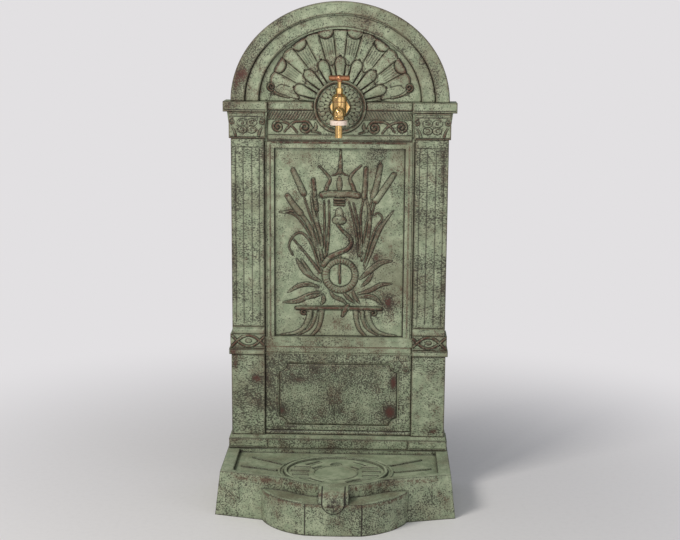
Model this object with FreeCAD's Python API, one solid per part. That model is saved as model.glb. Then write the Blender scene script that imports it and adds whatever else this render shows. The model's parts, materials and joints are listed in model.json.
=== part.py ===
"""A cast-iron wall fountain: a hollow arched back panel bolted onto a shallow basin, a brass bib tap,
a lift-out drain grate and the pipework behind and below.

Units are millimetres, +X is to the right seen from the front, +Y goes back to the wall and +Z is up.
The origin is on the floor, at the middle of the width and depth. Each function returns one piece.
"""
import FreeCAD
import Part

import math
import os

V = FreeCAD.Vector
X_AXIS = V(1, 0, 0)
Y_AXIS = V(0, 1, 0)
Z_AXIS = V(0, 0, 1)

# ---------------------------------------------------------------- overall sizes
TOTAL_DEPTH = 326.0          # from the wall to the front of the spout's shield
PANEL_DEPTH = 55.0           # from the wall to the face of the pilasters
BASIN_HEIGHT = 92.0
FLOOR_WIDTH = 495.0          # the basin at the floor
RIM_WIDTH = 474.0            # the basin at its rim
RIM_WING_DEPTH = 209.0       # from the wall to the rim's front corners
FLOOR_WING_DEPTH = 215.0     # from the wall to the floor's front corners
RIM_BOW_DEPTH = 283.0        # from the wall to the middle of the rim
CAST_WALL = 9.0              # common thickness of the castings

# ---------------------------------------------------------------- heights on the panel
PLINTH_HEIGHT = 22.0
PLINTH_FILLET = 8.0
PLINTH_FILLET_INSET = 3.0    # how much narrower the fillet is than the plinth, each side
DADO_HEIGHT = 179.0
DADO_CAP_HEIGHT = 13.0
FRIEZE_HEIGHT = 31.0
FRIEZE_BAND = 17.0
PILASTER_HEIGHT = 400.0
CAPITAL_HEIGHT = 55.0
ABACUS_HEIGHT = 21.0
ARCH_RISE = 204.0
MID_RAIL_HEIGHT = 38.0       # the rail between the dado and the tall field

# ---------------------------------------------------------------- widths on the panel
PLINTH_WIDTH = 470.0
DADO_WIDTH = 457.0
DADO_CAP_WIDTH = 466.0
PILASTER_SPAN = 452.0        # over both pilasters
PILASTER_WIDTH = 69.0
CAPITAL_SPREAD = 7.0         # how far a capital's bell leans out each side
ABACUS_WIDTH = 483.0
ARCH_BAND_OUTER = 28.0       # the arch's outer band
ARCH_BAND_INNER = 28.0       # the arch's second band
FIELD_FRAME = 20.0           # the moulding round the tall field
ROUNDEL_RADIUS = 54.0
ROUNDEL_RING = 5.0
DADO_PANEL_MARGIN = 30.0     # plain border round the incised dado panel
DADO_PANEL_RISE = 21.0       # from the dado's edges up to the incised panel
DADO_NOTCH = 17.0            # radius of the hollow corners of the incised dado panel

# ---------------------------------------------------------------- how far faces stand off the pilaster face
PLINTH_PROUD = 5.0
CAP_PROUD = 4.0
FRIEZE_PROUD = 2.0
FRIEZE_SPREAD = 2.0          # how far the frieze stands out past the dado, each side
ABACUS_PROUD = 6.0
ARCH_BAND_BACK = 2.0
ARCH_STEP_BACK = 7.0
TYMPANUM_BACK = 14.0
FRAME_BACK = 6.0
FIELD_BACK = 14.0
RAIL_BACK = 4.0
ROUNDEL_BACK = 6.0
GROOVE_DEPTH = 2.0
GROOVE_WIDTH = 3.0

# ---------------------------------------------------------------- basin
SIDE_RIM = 26.0
FRONT_RIM = 10.0
TRAY_DEPTH = 8.0
TRAY_RIB_WIDTH = 5.0
TRAY_RIB_HEIGHT = 3.0
TRAY_RIBS = (                # each rib's outer and inner end, measured from the grate's centre
    ((180.0, 78.0), (108.0, 34.0)),
    ((198.0, 22.0), (122.0, -2.0)),
)
SHOULDER_X = 97.0            # where the rim's straight wings meet its bow
RIM_SHOULDER_DEPTH = 246.0
FLOOR_SHOULDER_DEPTH = 254.0
DRUM_SLANT = 0.7             # the share of an inset that goes each way on the drum's slanting shoulder
DRUM_HEIGHT = 66.0           # the drum that swells forward below the rim
DRUM_TIP_X = 150.0           # where the drum leaves the wings
DRUM_TIP_DEPTH = 236.0
DRUM_SWELL_X = 118.0
DRUM_SWELL_DEPTH = 285.0
DRUM_BLOCK_X = 56.0          # half width of the drum's middle block
DRUM_BLOCK_DEPTH = 320.0
DRUM_APEX_DEPTH = 322.0      # the drum's own front, just behind the spout's shield
SPOUT_HALF_WIDTH = 30.0      # the spout block that joins the rim to the drum
SPOUT_TOP_DEPTH = 288.0
SPOUT_NOSE_DEPTH = 312.0
SPOUT_NOSE_HEIGHT = 82.0
SHIELD_HALF_WIDTH = 22.0     # the round-footed shield on the front of the spout block
SHIELD_PROUD = 4.0
SHIELD_BOTTOM = 48.0
SHIELD_BACK = 20.0

# ---------------------------------------------------------------- grate and drain
GRATE_HALF_WIDTH = 108.0
GRATE_HALF_DEPTH = 86.0
GRATE_CENTRE_DEPTH = 178.0   # from the wall
GRATE_THICKNESS = 6.0
GRATE_RING_HEIGHT = 4.0
GRATE_RING_WIDTH = 7.0
GRATE_CLEARANCE = 0.8
GRATE_SEAT_GAP = 0.3
GRATE_LEDGE = 7.0
GRATE_SLOT = 4.0
SIDE_SLOTS = (               # length, x and y of each straight slot, from the grate's centre
    (30.0, 70.0, 24.0),
    (34.0, 74.0, 0.0),
    (30.0, 72.0, -24.0),
    (20.0, 62.0, -46.0),
)
SLANTED_SLOTS = (            # length, angle, x and y of each slanted slot on the right
    (32.0, -38.0, 48.0, 48.0),
    (20.0, -34.0, 38.0, 21.0),
    (28.0, 34.0, 38.0, -57.0),
)
FINGER_HOLE_RADIUS = 12.0
FINGER_HOLE_BACK = 42.0      # from the grate's centre back to the finger hole's centre
FINGER_HOLE_STRAIGHT = 6.0   # from that centre forward to the hole's straight edge
SUMP_DEPTH = 38.0            # from the tray down to the sump's floor
DRAIN_RADIUS = 20.0          # a 40 mm waste spigot
DRAIN_THREAD_RADIUS = 21.0   # the threaded stretch above the spigot
DRAIN_WALL = 2.0
DRAIN_FLANGE_RADIUS = 29.0
DRAIN_FLANGE_THICKNESS = 3.0
DRAIN_HOLE_CLEARANCE = 1.0
DRAIN_FLOOR_GAP = 8.0
DRAIN_SEAL = 2.0
DRAIN_NUT_FLATS = 54.0
DRAIN_NUT_HEIGHT = 8.0
STRAINER_THICKNESS = 1.5
STRAINER_HOLE_RADIUS = 2.0

# ---------------------------------------------------------------- tap
TAP_HEIGHT = 828.0           # the inlet's axis, at the roundel's centre
INLET_THREAD_RADIUS = 10.48  # G 1/2
INLET_HOLE_CLEARANCE = 1.0
STEM_REACH = 46.0            # from the roundel's face to the spindle's axis
OUTLET_REACH = 76.0          # from the roundel's face to the outlet's axis
WATERWAY_RADIUS = 5.5
BARREL_RADIUS = 14.0
BARREL_BELOW = 14.0          # the barrel below the inlet's axis
BARREL_ABOVE = 13.0
NECK_RADIUS = 11.5
SPOUT_RADIUS = 11.0
SPOUT_SAG = 6.0              # the spout's axis below the inlet's axis
PASSAGE_RADIUS = 3.5         # the level way through the spout to the outlet
DOWNWAY_RADIUS = 2.6         # the drilling from the seat chamber down to that way
DOWNWAY_REACH = 9.4          # its distance in front of the spindle's axis
OUTLET_THREAD_RADIUS = 9.0
SPOUT_DROP = 20.0            # from the inlet's axis down to the spout's shoulder
OUTLET_THREAD_LENGTH = 6.2
SEAT_HEIGHT = 7.0            # the valve seat above the inlet's axis
CHAMBER_RADIUS = 9.2
BONNET_RADIUS = 15.0
BONNET_HEIGHT = 16.0
BONNET_TOP_RADIUS = 8.0
BONNET_DOME = 6.4            # height of the sloping top
BONNET_SPIGOT_RADIUS = 10.4
BONNET_SPIGOT_LENGTH = 4.0
BONNET_ROOF = 6.0
BONNET_SEAL = 0.8
BONNET_SEAL_INSET = 0.5
THREAD_CLEARANCE = 0.1
THREAD_BITE = 8.0            # how far a threaded end screws into its socket
GLAND_BORE_RADIUS = 6.0
GLAND_BORE_DEPTH = 4.5
PACKING_HEIGHT = 2.7
GLAND_NUT_FLATS = 12.5
GLAND_NUT_HEIGHT = 11.0
SPINDLE_RADIUS = 4.0
RUNNING_CLEARANCE = 0.05
HANDLE_HEIGHT = 61.0         # the bar's axis above the inlet's axis
HANDLE_BAR_RADIUS = 5.4
HANDLE_HALF_LENGTH = 21.5
HANDLE_HUB_RADIUS = 6.6
HANDLE_SKIRT_LENGTH = 7.0
HANDLE_SKIRT_RADIUS = 5.8
HANDLE_SOCKET = 2.0          # how far the spindle runs past the bar's axis
HANDLE_TIP = 2.2             # length of the bar's rounded tips
HANDLE_TIP_RADIUS = 3.2
HANDLE_PIN_RADIUS = 1.25
HANDLE_PIN_INSET = 0.4
JUMPER_RADIUS = 7.4
JUMPER_THICKNESS = 2.0
JUMPER_CLEARANCE = 1.0
JUMPER_STUD_TIP = 0.5        # the stud below its nut
JUMPER_STEM_RADIUS = 1.5
JUMPER_NUT_HEIGHT = 1.6
JUMPER_NUT_FLATS = 5.5
VALVE_WASHER_THICKNESS = 3.0
VALVE_WASHER_RADIUS = 7.2
VALVE_GAP = 0.3
FLANGE_FLATS = 36.0
FLANGE_THICKNESS = 6.0
RING_RADIUS = 17.5
RING_HEIGHT = 9.0
RING_LIP = 2.0
TAIL_RADIUS = 7.5
TAIL_BORE_RADIUS = 5.0
TAIL_FLANGE = 1.6
TAIL_FLANGE_RADIUS = 8.8
TAIL_COLLAR_RADIUS = 7.8     # where the tail passes through its ring
TAIL_LENGTH = 26.0
OUTLET_WASHER = 1.2
INLET_WASHER = 1.5
BACKNUT_FLATS = 30.0
BACKNUT_HEIGHT = 6.0
ELBOW_RADIUS = 13.5
ELBOW_LEG_RADIUS = 11.0
ELBOW_THREAD_LENGTH = 16.0
ELBOW_DROP = 38.0
ELBOW_WALL_GAP = 1.0
ELBOW_NUT_GAP = 0.5

# ---------------------------------------------------------------- fixings
BOLT_RADIUS = 4.0            # M8
BOLT_HOLE_RADIUS = 4.5
BOLT_HEAD_FLATS = 13.0
BOLT_HEAD_HEIGHT = 5.3
WASHER_RADIUS = 8.0
WASHER_THICKNESS = 1.6
NUT_HEIGHT = 6.5
BOLT_TIP = 3.0
BOLT_SPACINGS = (95.0, 195.0)
BOLT_WALL_DISTANCE = 17.0
PANEL_FLOOR = 14.0           # thickness of the panel's foot, where the bolts pass
PLATE_THICKNESS = 4.0
PLATE_HEIGHT = 96.0
PLATE_WIDTH = 26.0
PLATE_SPACING = 280.0        # between the two wall screws
PLATE_CENTRE_HEIGHT = 860.0
PLATE_SCREW_OFFSET = 36.0
PLATE_SCREW_RADIUS = 3.0     # M6
PLATE_SCREW_HEAD_RADIUS = 5.0
PLATE_SCREW_HEAD = 3.0
WALL_SCREW_HOLE = 3.5        # the keyhole's upper end
KEYHOLE_NECK = 2.2           # half width of the keyhole's slot
KEYHOLE_ENTRY = 7.0          # radius of the hole that the screw's head goes through
KEYHOLE_DROP = 16.0          # from the upper end down to that hole
BOSS_RADIUS = 8.0
SCREW_BITE = 10.0

# ---------------------------------------------------------------- places worked out from the sizes
WALL_Y = TOTAL_DEPTH / 2
PILASTER_Y = WALL_Y - PANEL_DEPTH
PLINTH_TOP = BASIN_HEIGHT + PLINTH_HEIGHT
DADO_BOTTOM = PLINTH_TOP + PLINTH_FILLET
DADO_TOP = DADO_BOTTOM + DADO_HEIGHT
CAP_TOP = DADO_TOP + DADO_CAP_HEIGHT
FRIEZE_TOP = CAP_TOP + FRIEZE_HEIGHT
SHAFT_BOTTOM = FRIEZE_TOP + FRIEZE_BAND
SHAFT_TOP = SHAFT_BOTTOM + PILASTER_HEIGHT
ABACUS_BOTTOM = SHAFT_TOP + CAPITAL_HEIGHT
SPRINGING = ABACUS_BOTTOM + ABACUS_HEIGHT
PILASTER_INNER = PILASTER_SPAN / 2 - PILASTER_WIDTH
CAVITY_Y = PILASTER_Y + FIELD_BACK + CAST_WALL
TRAY_Z = BASIN_HEIGHT - TRAY_DEPTH
TRAY_UNDERSIDE = TRAY_Z - CAST_WALL
GRATE_Y = WALL_Y - GRATE_CENTRE_DEPTH
GRATE_BOTTOM = TRAY_Z - GRATE_THICKNESS
SUMP_FLOOR = TRAY_Z - SUMP_DEPTH
ROUNDEL_Y = PILASTER_Y + ROUNDEL_BACK
STEM_Y = ROUNDEL_Y - STEM_REACH
OUTLET_Y = ROUNDEL_Y - OUTLET_REACH
BARREL_TOP = TAP_HEIGHT + BARREL_ABOVE
SEAT_Z = TAP_HEIGHT + SEAT_HEIGHT
WASHER_Z = SEAT_Z + VALVE_GAP
BONNET_BOTTOM = BARREL_TOP + BONNET_SEAL
BONNET_TOP = BONNET_BOTTOM + BONNET_HEIGHT
HANDLE_Z = TAP_HEIGHT + HANDLE_HEIGHT
SPOUT_SHOULDER = TAP_HEIGHT - SPOUT_DROP
OUTLET_END = SPOUT_SHOULDER - OUTLET_THREAD_LENGTH
BOLT_Y = WALL_Y - BOLT_WALL_DISTANCE
PANEL_FLOOR_TOP = BASIN_HEIGHT + PANEL_FLOOR
PLATE_Y = WALL_Y - PLATE_THICKNESS
OVERCUT = 1.0                # how far a cutting tool runs past a face


# ---------------------------------------------------------------- shapes used again and again
def box(x0, x1, y0, y1, z0, z1):
    """A block between two corners."""
    return Part.makeBox(x1 - x0, y1 - y0, z1 - z0, V(x0, y0, z0))


def both_sides(shape):
    """A shape and its mirror image across the middle plane."""
    return [shape, shape.mirror(V(0, 0, 0), X_AXIS)]


def rod(radius, start, end, axis, x=0.0, y=0.0, z=0.0):
    """A cylinder along an axis, from start to end measured along that axis."""
    base = V(x, y, z)
    base = base - axis * base.dot(axis) + axis * start
    return Part.makeCylinder(radius, end - start, base, axis)


def tube(outer, inner, start, end, axis, x=0.0, y=0.0, z=0.0):
    """A ring or pipe along an axis."""
    bore = rod(inner, start - OVERCUT, end + OVERCUT, axis, x, y, z)
    return rod(outer, start, end, axis, x, y, z).cut(bore)


def hexagon(flats, start, end, axis, x=0.0, y=0.0, z=0.0):
    """A six-sided prism, measured across its flats, along an axis."""
    corner = flats / math.sqrt(3.0)
    side = X_AXIS if axis != X_AXIS else Y_AXIS
    other = axis.cross(side)
    base = V(x, y, z)
    base = base - axis * base.dot(axis) + axis * start
    points = []
    for k in range(6):
        angle = math.radians(60.0 * k)
        points.append(base + side * (corner * math.cos(angle)) + other * (corner * math.sin(angle)))
    face = Part.Face(Part.makePolygon(points + points[:1]))
    return face.extrude(axis * (end - start))


def upright_ellipse(half_width, rise, y0, y1, centre_z):
    """An elliptical slab that stands across the panel, from y0 to y1."""
    centre = V(0, y0, centre_z)
    wide = centre + V(half_width, 0, 0)
    high = centre + V(0, 0, rise)
    curve = Part.Ellipse(wide, high, centre) if half_width >= rise else Part.Ellipse(high, wide, centre)
    return Part.Face(Part.Wire(curve.toShape())).extrude(V(0, y1 - y0, 0))


def flat_ellipse_wire(half_width, half_depth, z):
    """An elliptical outline at height z, round the grate's centre."""
    centre = V(0, GRATE_Y, z)
    wide = centre + V(half_width, 0, 0)
    deep = centre + V(0, half_depth, 0)
    if half_width >= half_depth:
        return Part.Wire(Part.Ellipse(wide, deep, centre).toShape())
    return Part.Wire(Part.Ellipse(deep, wide, centre).toShape())


def oval(half_width, half_depth, z0, z1):
    """A flat elliptical plate round the grate's centre."""
    return Part.Face(flat_ellipse_wire(half_width, half_depth, z0)).extrude(V(0, 0, z1 - z0))


def arch(half_width, rise, y0, y1):
    """The upper half of an upright ellipse that springs from the abacus."""
    whole = upright_ellipse(half_width, rise, y0, y1, SPRINGING)
    reach = max(half_width, rise) + OVERCUT
    return whole.common(box(-reach, reach, y0, y1, SPRINGING, SPRINGING + reach))


def fuse(shapes):
    """One solid from pieces that touch or overlap, with its shared faces merged."""
    return shapes[0].multiFuse(shapes[1:]).removeSplitter()


# ---------------------------------------------------------------- the back panel
def bell(half_inner, half_outer, face_y):
    """One capital's bell: narrow on the shaft and leaning out under the abacus."""
    low = Part.makePolygon([V(half_inner, face_y, SHAFT_TOP), V(half_outer, face_y, SHAFT_TOP),
                            V(half_outer, WALL_Y, SHAFT_TOP), V(half_inner, WALL_Y, SHAFT_TOP),
                            V(half_inner, face_y, SHAFT_TOP)])
    spread = CAPITAL_SPREAD
    high = Part.makePolygon([V(half_inner - spread, face_y - spread / 2, ABACUS_BOTTOM),
                             V(half_outer + spread, face_y - spread / 2, ABACUS_BOTTOM),
                             V(half_outer + spread, WALL_Y, ABACUS_BOTTOM),
                             V(half_inner - spread, WALL_Y, ABACUS_BOTTOM),
                             V(half_inner - spread, face_y - spread / 2, ABACUS_BOTTOM)])
    return Part.makeLoft([low, high], True, True)


def incised_outline(half_width, z0, z1):
    """The dado panel's outline, with a hollow quarter round at each corner, as a flat shape."""
    plate = box(-half_width, half_width, 0, 1, z0, z1)
    for x in (-half_width, half_width):
        for z in (z0, z1):
            plate = plate.cut(rod(DADO_NOTCH, -OVERCUT, 1 + OVERCUT, Y_AXIS, x=x, z=z))
    return plate


def dado_groove(face_y):
    """The groove that draws the dado panel, cut into its face."""
    half_width = PILASTER_INNER - DADO_PANEL_MARGIN
    z0 = DADO_BOTTOM + DADO_PANEL_RISE
    z1 = DADO_TOP - DADO_PANEL_RISE
    outer = incised_outline(half_width, z0, z1)
    inner = incised_outline(half_width - GROOVE_WIDTH, z0 + GROOVE_WIDTH, z1 - GROOVE_WIDTH)
    groove = outer.cut(inner)
    matrix = FreeCAD.Matrix()
    matrix.scale(V(1, GROOVE_DEPTH * 2, 1))
    matrix.move(V(0, face_y - GROOVE_DEPTH, 0))
    return groove.transformGeometry(matrix)


def boss_places():
    """Where the hanging plates are screwed to the panel: x and z of each screw."""
    places = []
    for side in (-1, 1):
        for up in (-1, 1):
            places.append((side * PLATE_SPACING / 2, PLATE_CENTRE_HEIGHT + up * PLATE_SCREW_OFFSET))
    return places


def panel_faces():
    """The panel's solid blocks, each from its own face back to the wall."""
    half_span = PILASTER_SPAN / 2
    tympanum_y = PILASTER_Y + TYMPANUM_BACK
    field_y = PILASTER_Y + FIELD_BACK
    plinth = PLINTH_WIDTH / 2
    fillet = plinth - PLINTH_FILLET_INSET
    cap = DADO_CAP_WIDTH / 2
    band_width = half_span - ARCH_BAND_OUTER
    band_rise = ARCH_RISE - ARCH_BAND_OUTER
    inner_width = band_width - ARCH_BAND_INNER
    inner_rise = band_rise - ARCH_BAND_INNER
    solids = [
        box(-half_span, half_span, field_y, WALL_Y, BASIN_HEIGHT, SPRINGING),
        arch(half_span, ARCH_RISE, tympanum_y, WALL_Y),
        arch(half_span, ARCH_RISE, PILASTER_Y + ARCH_BAND_BACK, WALL_Y)
        .cut(arch(band_width, band_rise, 0, WALL_Y)),
        arch(band_width, band_rise, PILASTER_Y + ARCH_STEP_BACK, WALL_Y)
        .cut(arch(inner_width, inner_rise, 0, WALL_Y)),
        box(-plinth, plinth, PILASTER_Y - PLINTH_PROUD, WALL_Y, BASIN_HEIGHT, PLINTH_TOP),
        box(-fillet, fillet, PILASTER_Y - PLINTH_PROUD / 2, WALL_Y, PLINTH_TOP, DADO_BOTTOM),
        box(-PILASTER_INNER, PILASTER_INNER, PILASTER_Y + FRAME_BACK, WALL_Y, DADO_BOTTOM, DADO_TOP),
        box(-PILASTER_INNER, PILASTER_INNER, PILASTER_Y + RAIL_BACK, WALL_Y, DADO_TOP,
            DADO_TOP + MID_RAIL_HEIGHT),
        box(-PILASTER_INNER, PILASTER_INNER, PILASTER_Y + FRAME_BACK, WALL_Y, SHAFT_TOP, SPRINGING),
        box(-ABACUS_WIDTH / 2, -PILASTER_INNER + CAPITAL_SPREAD, PILASTER_Y - ABACUS_PROUD, WALL_Y,
            ABACUS_BOTTOM, SPRINGING),
        box(PILASTER_INNER - CAPITAL_SPREAD, ABACUS_WIDTH / 2, PILASTER_Y - ABACUS_PROUD, WALL_Y,
            ABACUS_BOTTOM, SPRINGING),
        rod(ROUNDEL_RADIUS, ROUNDEL_Y, WALL_Y, Y_AXIS, z=TAP_HEIGHT),
        tube(ROUNDEL_RADIUS, ROUNDEL_RADIUS - ROUNDEL_RING, ROUNDEL_Y - GROOVE_DEPTH, WALL_Y, Y_AXIS,
             z=TAP_HEIGHT),
    ]
    solids += both_sides(box(PILASTER_INNER, DADO_WIDTH / 2, PILASTER_Y, WALL_Y, DADO_BOTTOM, DADO_TOP))
    solids += both_sides(box(PILASTER_INNER, cap, PILASTER_Y - CAP_PROUD, WALL_Y, DADO_TOP, CAP_TOP))
    solids += both_sides(box(PILASTER_INNER, DADO_WIDTH / 2 + FRIEZE_SPREAD,
                             PILASTER_Y - FRIEZE_PROUD, WALL_Y, CAP_TOP, FRIEZE_TOP))
    solids += both_sides(box(PILASTER_INNER, half_span, PILASTER_Y, WALL_Y, FRIEZE_TOP, SHAFT_TOP))
    solids += both_sides(bell(PILASTER_INNER, half_span, PILASTER_Y))
    frame = box(-PILASTER_INNER, PILASTER_INNER, PILASTER_Y + FRAME_BACK, WALL_Y,
                DADO_TOP + MID_RAIL_HEIGHT, SHAFT_TOP)
    field = box(-PILASTER_INNER + FIELD_FRAME, PILASTER_INNER - FIELD_FRAME, 0, WALL_Y,
                DADO_TOP + MID_RAIL_HEIGHT, SHAFT_TOP - FIELD_FRAME)
    solids.append(frame.cut(field))
    return solids


def panel_hollow():
    """The space behind the panel's face: a wide chest, the arch and two pilaster channels."""
    half_span = PILASTER_SPAN / 2 - CAST_WALL
    past = WALL_Y + OVERCUT
    chest = box(-half_span, half_span, CAVITY_Y, past, PANEL_FLOOR_TOP, SPRINGING)
    head = arch(half_span, ARCH_RISE - CAST_WALL, CAVITY_Y, past)
    channels = []
    for z0, z1 in ((DADO_BOTTOM + CAST_WALL, DADO_TOP - CAST_WALL), (SHAFT_BOTTOM, SHAFT_TOP - CAST_WALL)):
        channels += both_sides(box(PILASTER_INNER + CAST_WALL, half_span,
                                   PILASTER_Y + CAST_WALL, past, z0, z1))
    return [chest, head] + channels


def back_panel():
    """The hollow casting with its arch, pilasters, field and dado."""
    shell = fuse(panel_faces())
    for space in panel_hollow():
        shell = shell.cut(space)
    post_front = PILASTER_Y + TYMPANUM_BACK
    posts = [rod(BOSS_RADIUS, post_front, PLATE_Y, Y_AXIS, x=x, z=z) for x, z in boss_places()]
    shell = fuse([shell] + posts)
    shell = shell.cut(dado_groove(PILASTER_Y + FRAME_BACK))
    for x, z in boss_places():
        shell = shell.cut(rod(PLATE_SCREW_RADIUS, PLATE_Y - SCREW_BITE - OVERCUT, PLATE_Y + OVERCUT, Y_AXIS,
                              x=x, z=z))
    tap_hole = INLET_THREAD_RADIUS + INLET_HOLE_CLEARANCE
    shell = shell.cut(rod(tap_hole, PILASTER_Y - OVERCUT, WALL_Y, Y_AXIS, z=TAP_HEIGHT))
    for x in bolt_places():
        shell = shell.cut(rod(BOLT_HOLE_RADIUS, BASIN_HEIGHT - OVERCUT, PANEL_FLOOR_TOP + OVERCUT, Z_AXIS,
                              x=x, y=BOLT_Y))
    return shell


# ---------------------------------------------------------------- the basin
def basin_outline(share, side_inset, front_inset, back_y, z):
    """The basin's plan at a height: share 0 is the floor's outline and 1 is the rim's.

    Straight wings angle forward from the corners, and a shallow arc joins them across the middle.
    """
    def between(floor_value, rim_value):
        return floor_value + (rim_value - floor_value) * share

    corner_x = between(FLOOR_WIDTH, RIM_WIDTH) / 2 - side_inset
    corner_y = WALL_Y - between(FLOOR_WING_DEPTH, RIM_WING_DEPTH) + front_inset
    shoulder_x = SHOULDER_X - front_inset / 2
    shoulder_y = WALL_Y - between(FLOOR_SHOULDER_DEPTH, RIM_SHOULDER_DEPTH) + front_inset
    apex_y = WALL_Y - RIM_BOW_DEPTH + front_inset
    edges = [
        Part.LineSegment(V(-corner_x, back_y, z), V(-corner_x, corner_y, z)),
        Part.LineSegment(V(-corner_x, corner_y, z), V(-shoulder_x, shoulder_y, z)),
        Part.Arc(V(-shoulder_x, shoulder_y, z), V(0, apex_y, z), V(shoulder_x, shoulder_y, z)),
        Part.LineSegment(V(shoulder_x, shoulder_y, z), V(corner_x, corner_y, z)),
        Part.LineSegment(V(corner_x, corner_y, z), V(corner_x, back_y, z)),
        Part.LineSegment(V(corner_x, back_y, z), V(-corner_x, back_y, z)),
    ]
    return Part.Wire([e.toShape() for e in edges])


def basin_block(z0, z1, side_inset, front_inset, back_y):
    """A solid between two heights that follows the basin's battered outline."""
    low = basin_outline(z0 / BASIN_HEIGHT, side_inset, front_inset, back_y, z0)
    high = basin_outline(z1 / BASIN_HEIGHT, side_inset, front_inset, back_y, z1)
    return Part.makeLoft([low, high], True, True)


def drum(z0, z1, inset):
    """The drum in front of the basin: a swelling curve each side of a nearly flat middle block."""
    tip = V(DRUM_TIP_X - inset, WALL_Y - DRUM_TIP_DEPTH + inset / 2, z0)
    swell = V(DRUM_SWELL_X - inset * DRUM_SLANT, WALL_Y - DRUM_SWELL_DEPTH + inset * DRUM_SLANT, z0)
    block = V(DRUM_BLOCK_X - inset / 2, WALL_Y - DRUM_BLOCK_DEPTH + inset, z0)
    apex = V(0, WALL_Y - DRUM_APEX_DEPTH + inset, z0)

    def mirrored(point):
        return V(-point.x, point.y, point.z)

    inner = V(tip.x, GRATE_Y, z0)
    edges = [
        Part.LineSegment(mirrored(inner), mirrored(tip)),
        Part.Arc(mirrored(tip), mirrored(swell), mirrored(block)),
        Part.Arc(mirrored(block), apex, block),
        Part.Arc(block, swell, tip),
        Part.LineSegment(tip, inner),
        Part.LineSegment(inner, mirrored(inner)),
    ]
    face = Part.Face(Part.Wire([e.toShape() for e in edges]))
    return face.extrude(V(0, 0, z1 - z0))


def spout_block():
    """The block at the middle of the rim, which bulges forward and down onto the drum."""
    top_y = WALL_Y - SPOUT_TOP_DEPTH
    nose_y = WALL_Y - SPOUT_NOSE_DEPTH
    front_y = WALL_Y - DRUM_BLOCK_DEPTH
    back_y = WALL_Y - RIM_SHOULDER_DEPTH - FRONT_RIM
    start = V(-SPOUT_HALF_WIDTH, top_y, BASIN_HEIGHT)
    nose = V(-SPOUT_HALF_WIDTH, nose_y, SPOUT_NOSE_HEIGHT)
    foot = V(-SPOUT_HALF_WIDTH, front_y, DRUM_HEIGHT)
    low = V(-SPOUT_HALF_WIDTH, back_y, DRUM_HEIGHT)
    high = V(-SPOUT_HALF_WIDTH, back_y, BASIN_HEIGHT)
    edges = [
        Part.Arc(start, nose, foot),
        Part.LineSegment(foot, low),
        Part.LineSegment(low, high),
        Part.LineSegment(high, start),
    ]
    face = Part.Face(Part.Wire([e.toShape() for e in edges]))
    return face.extrude(V(2 * SPOUT_HALF_WIDTH, 0, 0))


def spout_shield():
    """The tongue on the spout block's front, which laps down over the drum and ends in a half circle."""
    top_y = WALL_Y - SPOUT_TOP_DEPTH - SHIELD_PROUD
    nose_y = WALL_Y - SPOUT_NOSE_DEPTH - SHIELD_PROUD
    front_y = WALL_Y - TOTAL_DEPTH
    back_y = front_y + SHIELD_BACK
    start = V(-SHIELD_HALF_WIDTH, top_y, BASIN_HEIGHT)
    nose = V(-SHIELD_HALF_WIDTH, nose_y, SPOUT_NOSE_HEIGHT)
    shoulder = V(-SHIELD_HALF_WIDTH, front_y, DRUM_HEIGHT)
    foot = V(-SHIELD_HALF_WIDTH, front_y, SHIELD_BOTTOM)
    heel = V(-SHIELD_HALF_WIDTH, back_y, SHIELD_BOTTOM)
    back = V(-SHIELD_HALF_WIDTH, back_y, DRUM_HEIGHT)
    high = V(-SHIELD_HALF_WIDTH, top_y + SHIELD_BACK, BASIN_HEIGHT)
    edges = [
        Part.Arc(start, nose, shoulder),
        Part.LineSegment(shoulder, foot),
        Part.LineSegment(foot, heel),
        Part.LineSegment(heel, back),
        Part.LineSegment(back, high),
        Part.LineSegment(high, start),
    ]
    face = Part.Face(Part.Wire([e.toShape() for e in edges]))
    tongue = face.extrude(V(2 * SHIELD_HALF_WIDTH, 0, 0))
    round_z = SHIELD_BOTTOM + SHIELD_HALF_WIDTH
    outline = fuse([
        rod(SHIELD_HALF_WIDTH, front_y - OVERCUT, WALL_Y, Y_AXIS, z=round_z),
        box(-SHIELD_HALF_WIDTH, SHIELD_HALF_WIDTH, front_y - OVERCUT, WALL_Y, round_z, BASIN_HEIGHT),
    ])
    return tongue.common(outline)


def sump(extra, z0, z1):
    """The drain bowl: an oval mouth under the grate that narrows to a round floor."""
    mouth = flat_ellipse_wire(GRATE_HALF_WIDTH - GRATE_LEDGE + extra,
                              GRATE_HALF_DEPTH - GRATE_LEDGE + extra, z1)
    floor_radius = DRAIN_FLANGE_RADIUS + OVERCUT + extra
    bottom = flat_ellipse_wire(floor_radius, floor_radius, z0)
    return Part.makeLoft([bottom, mouth], True, True)


def tray_ribs():
    """Two low ribs each side that run from the side rim towards the grate."""
    ribs = []
    for outer, inner in TRAY_RIBS:
        start = V(outer[0], GRATE_Y + outer[1], TRAY_Z - OVERCUT)
        run = V(inner[0] - outer[0], inner[1] - outer[1], 0)
        side = Z_AXIS.cross(run).normalize() * (TRAY_RIB_WIDTH / 2)
        corners = [start + side, start + run + side, start + run - side, start - side]
        face = Part.Face(Part.makePolygon(corners + corners[:1]))
        ribs += both_sides(face.extrude(V(0, 0, TRAY_RIB_HEIGHT + OVERCUT)))
    return ribs


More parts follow.
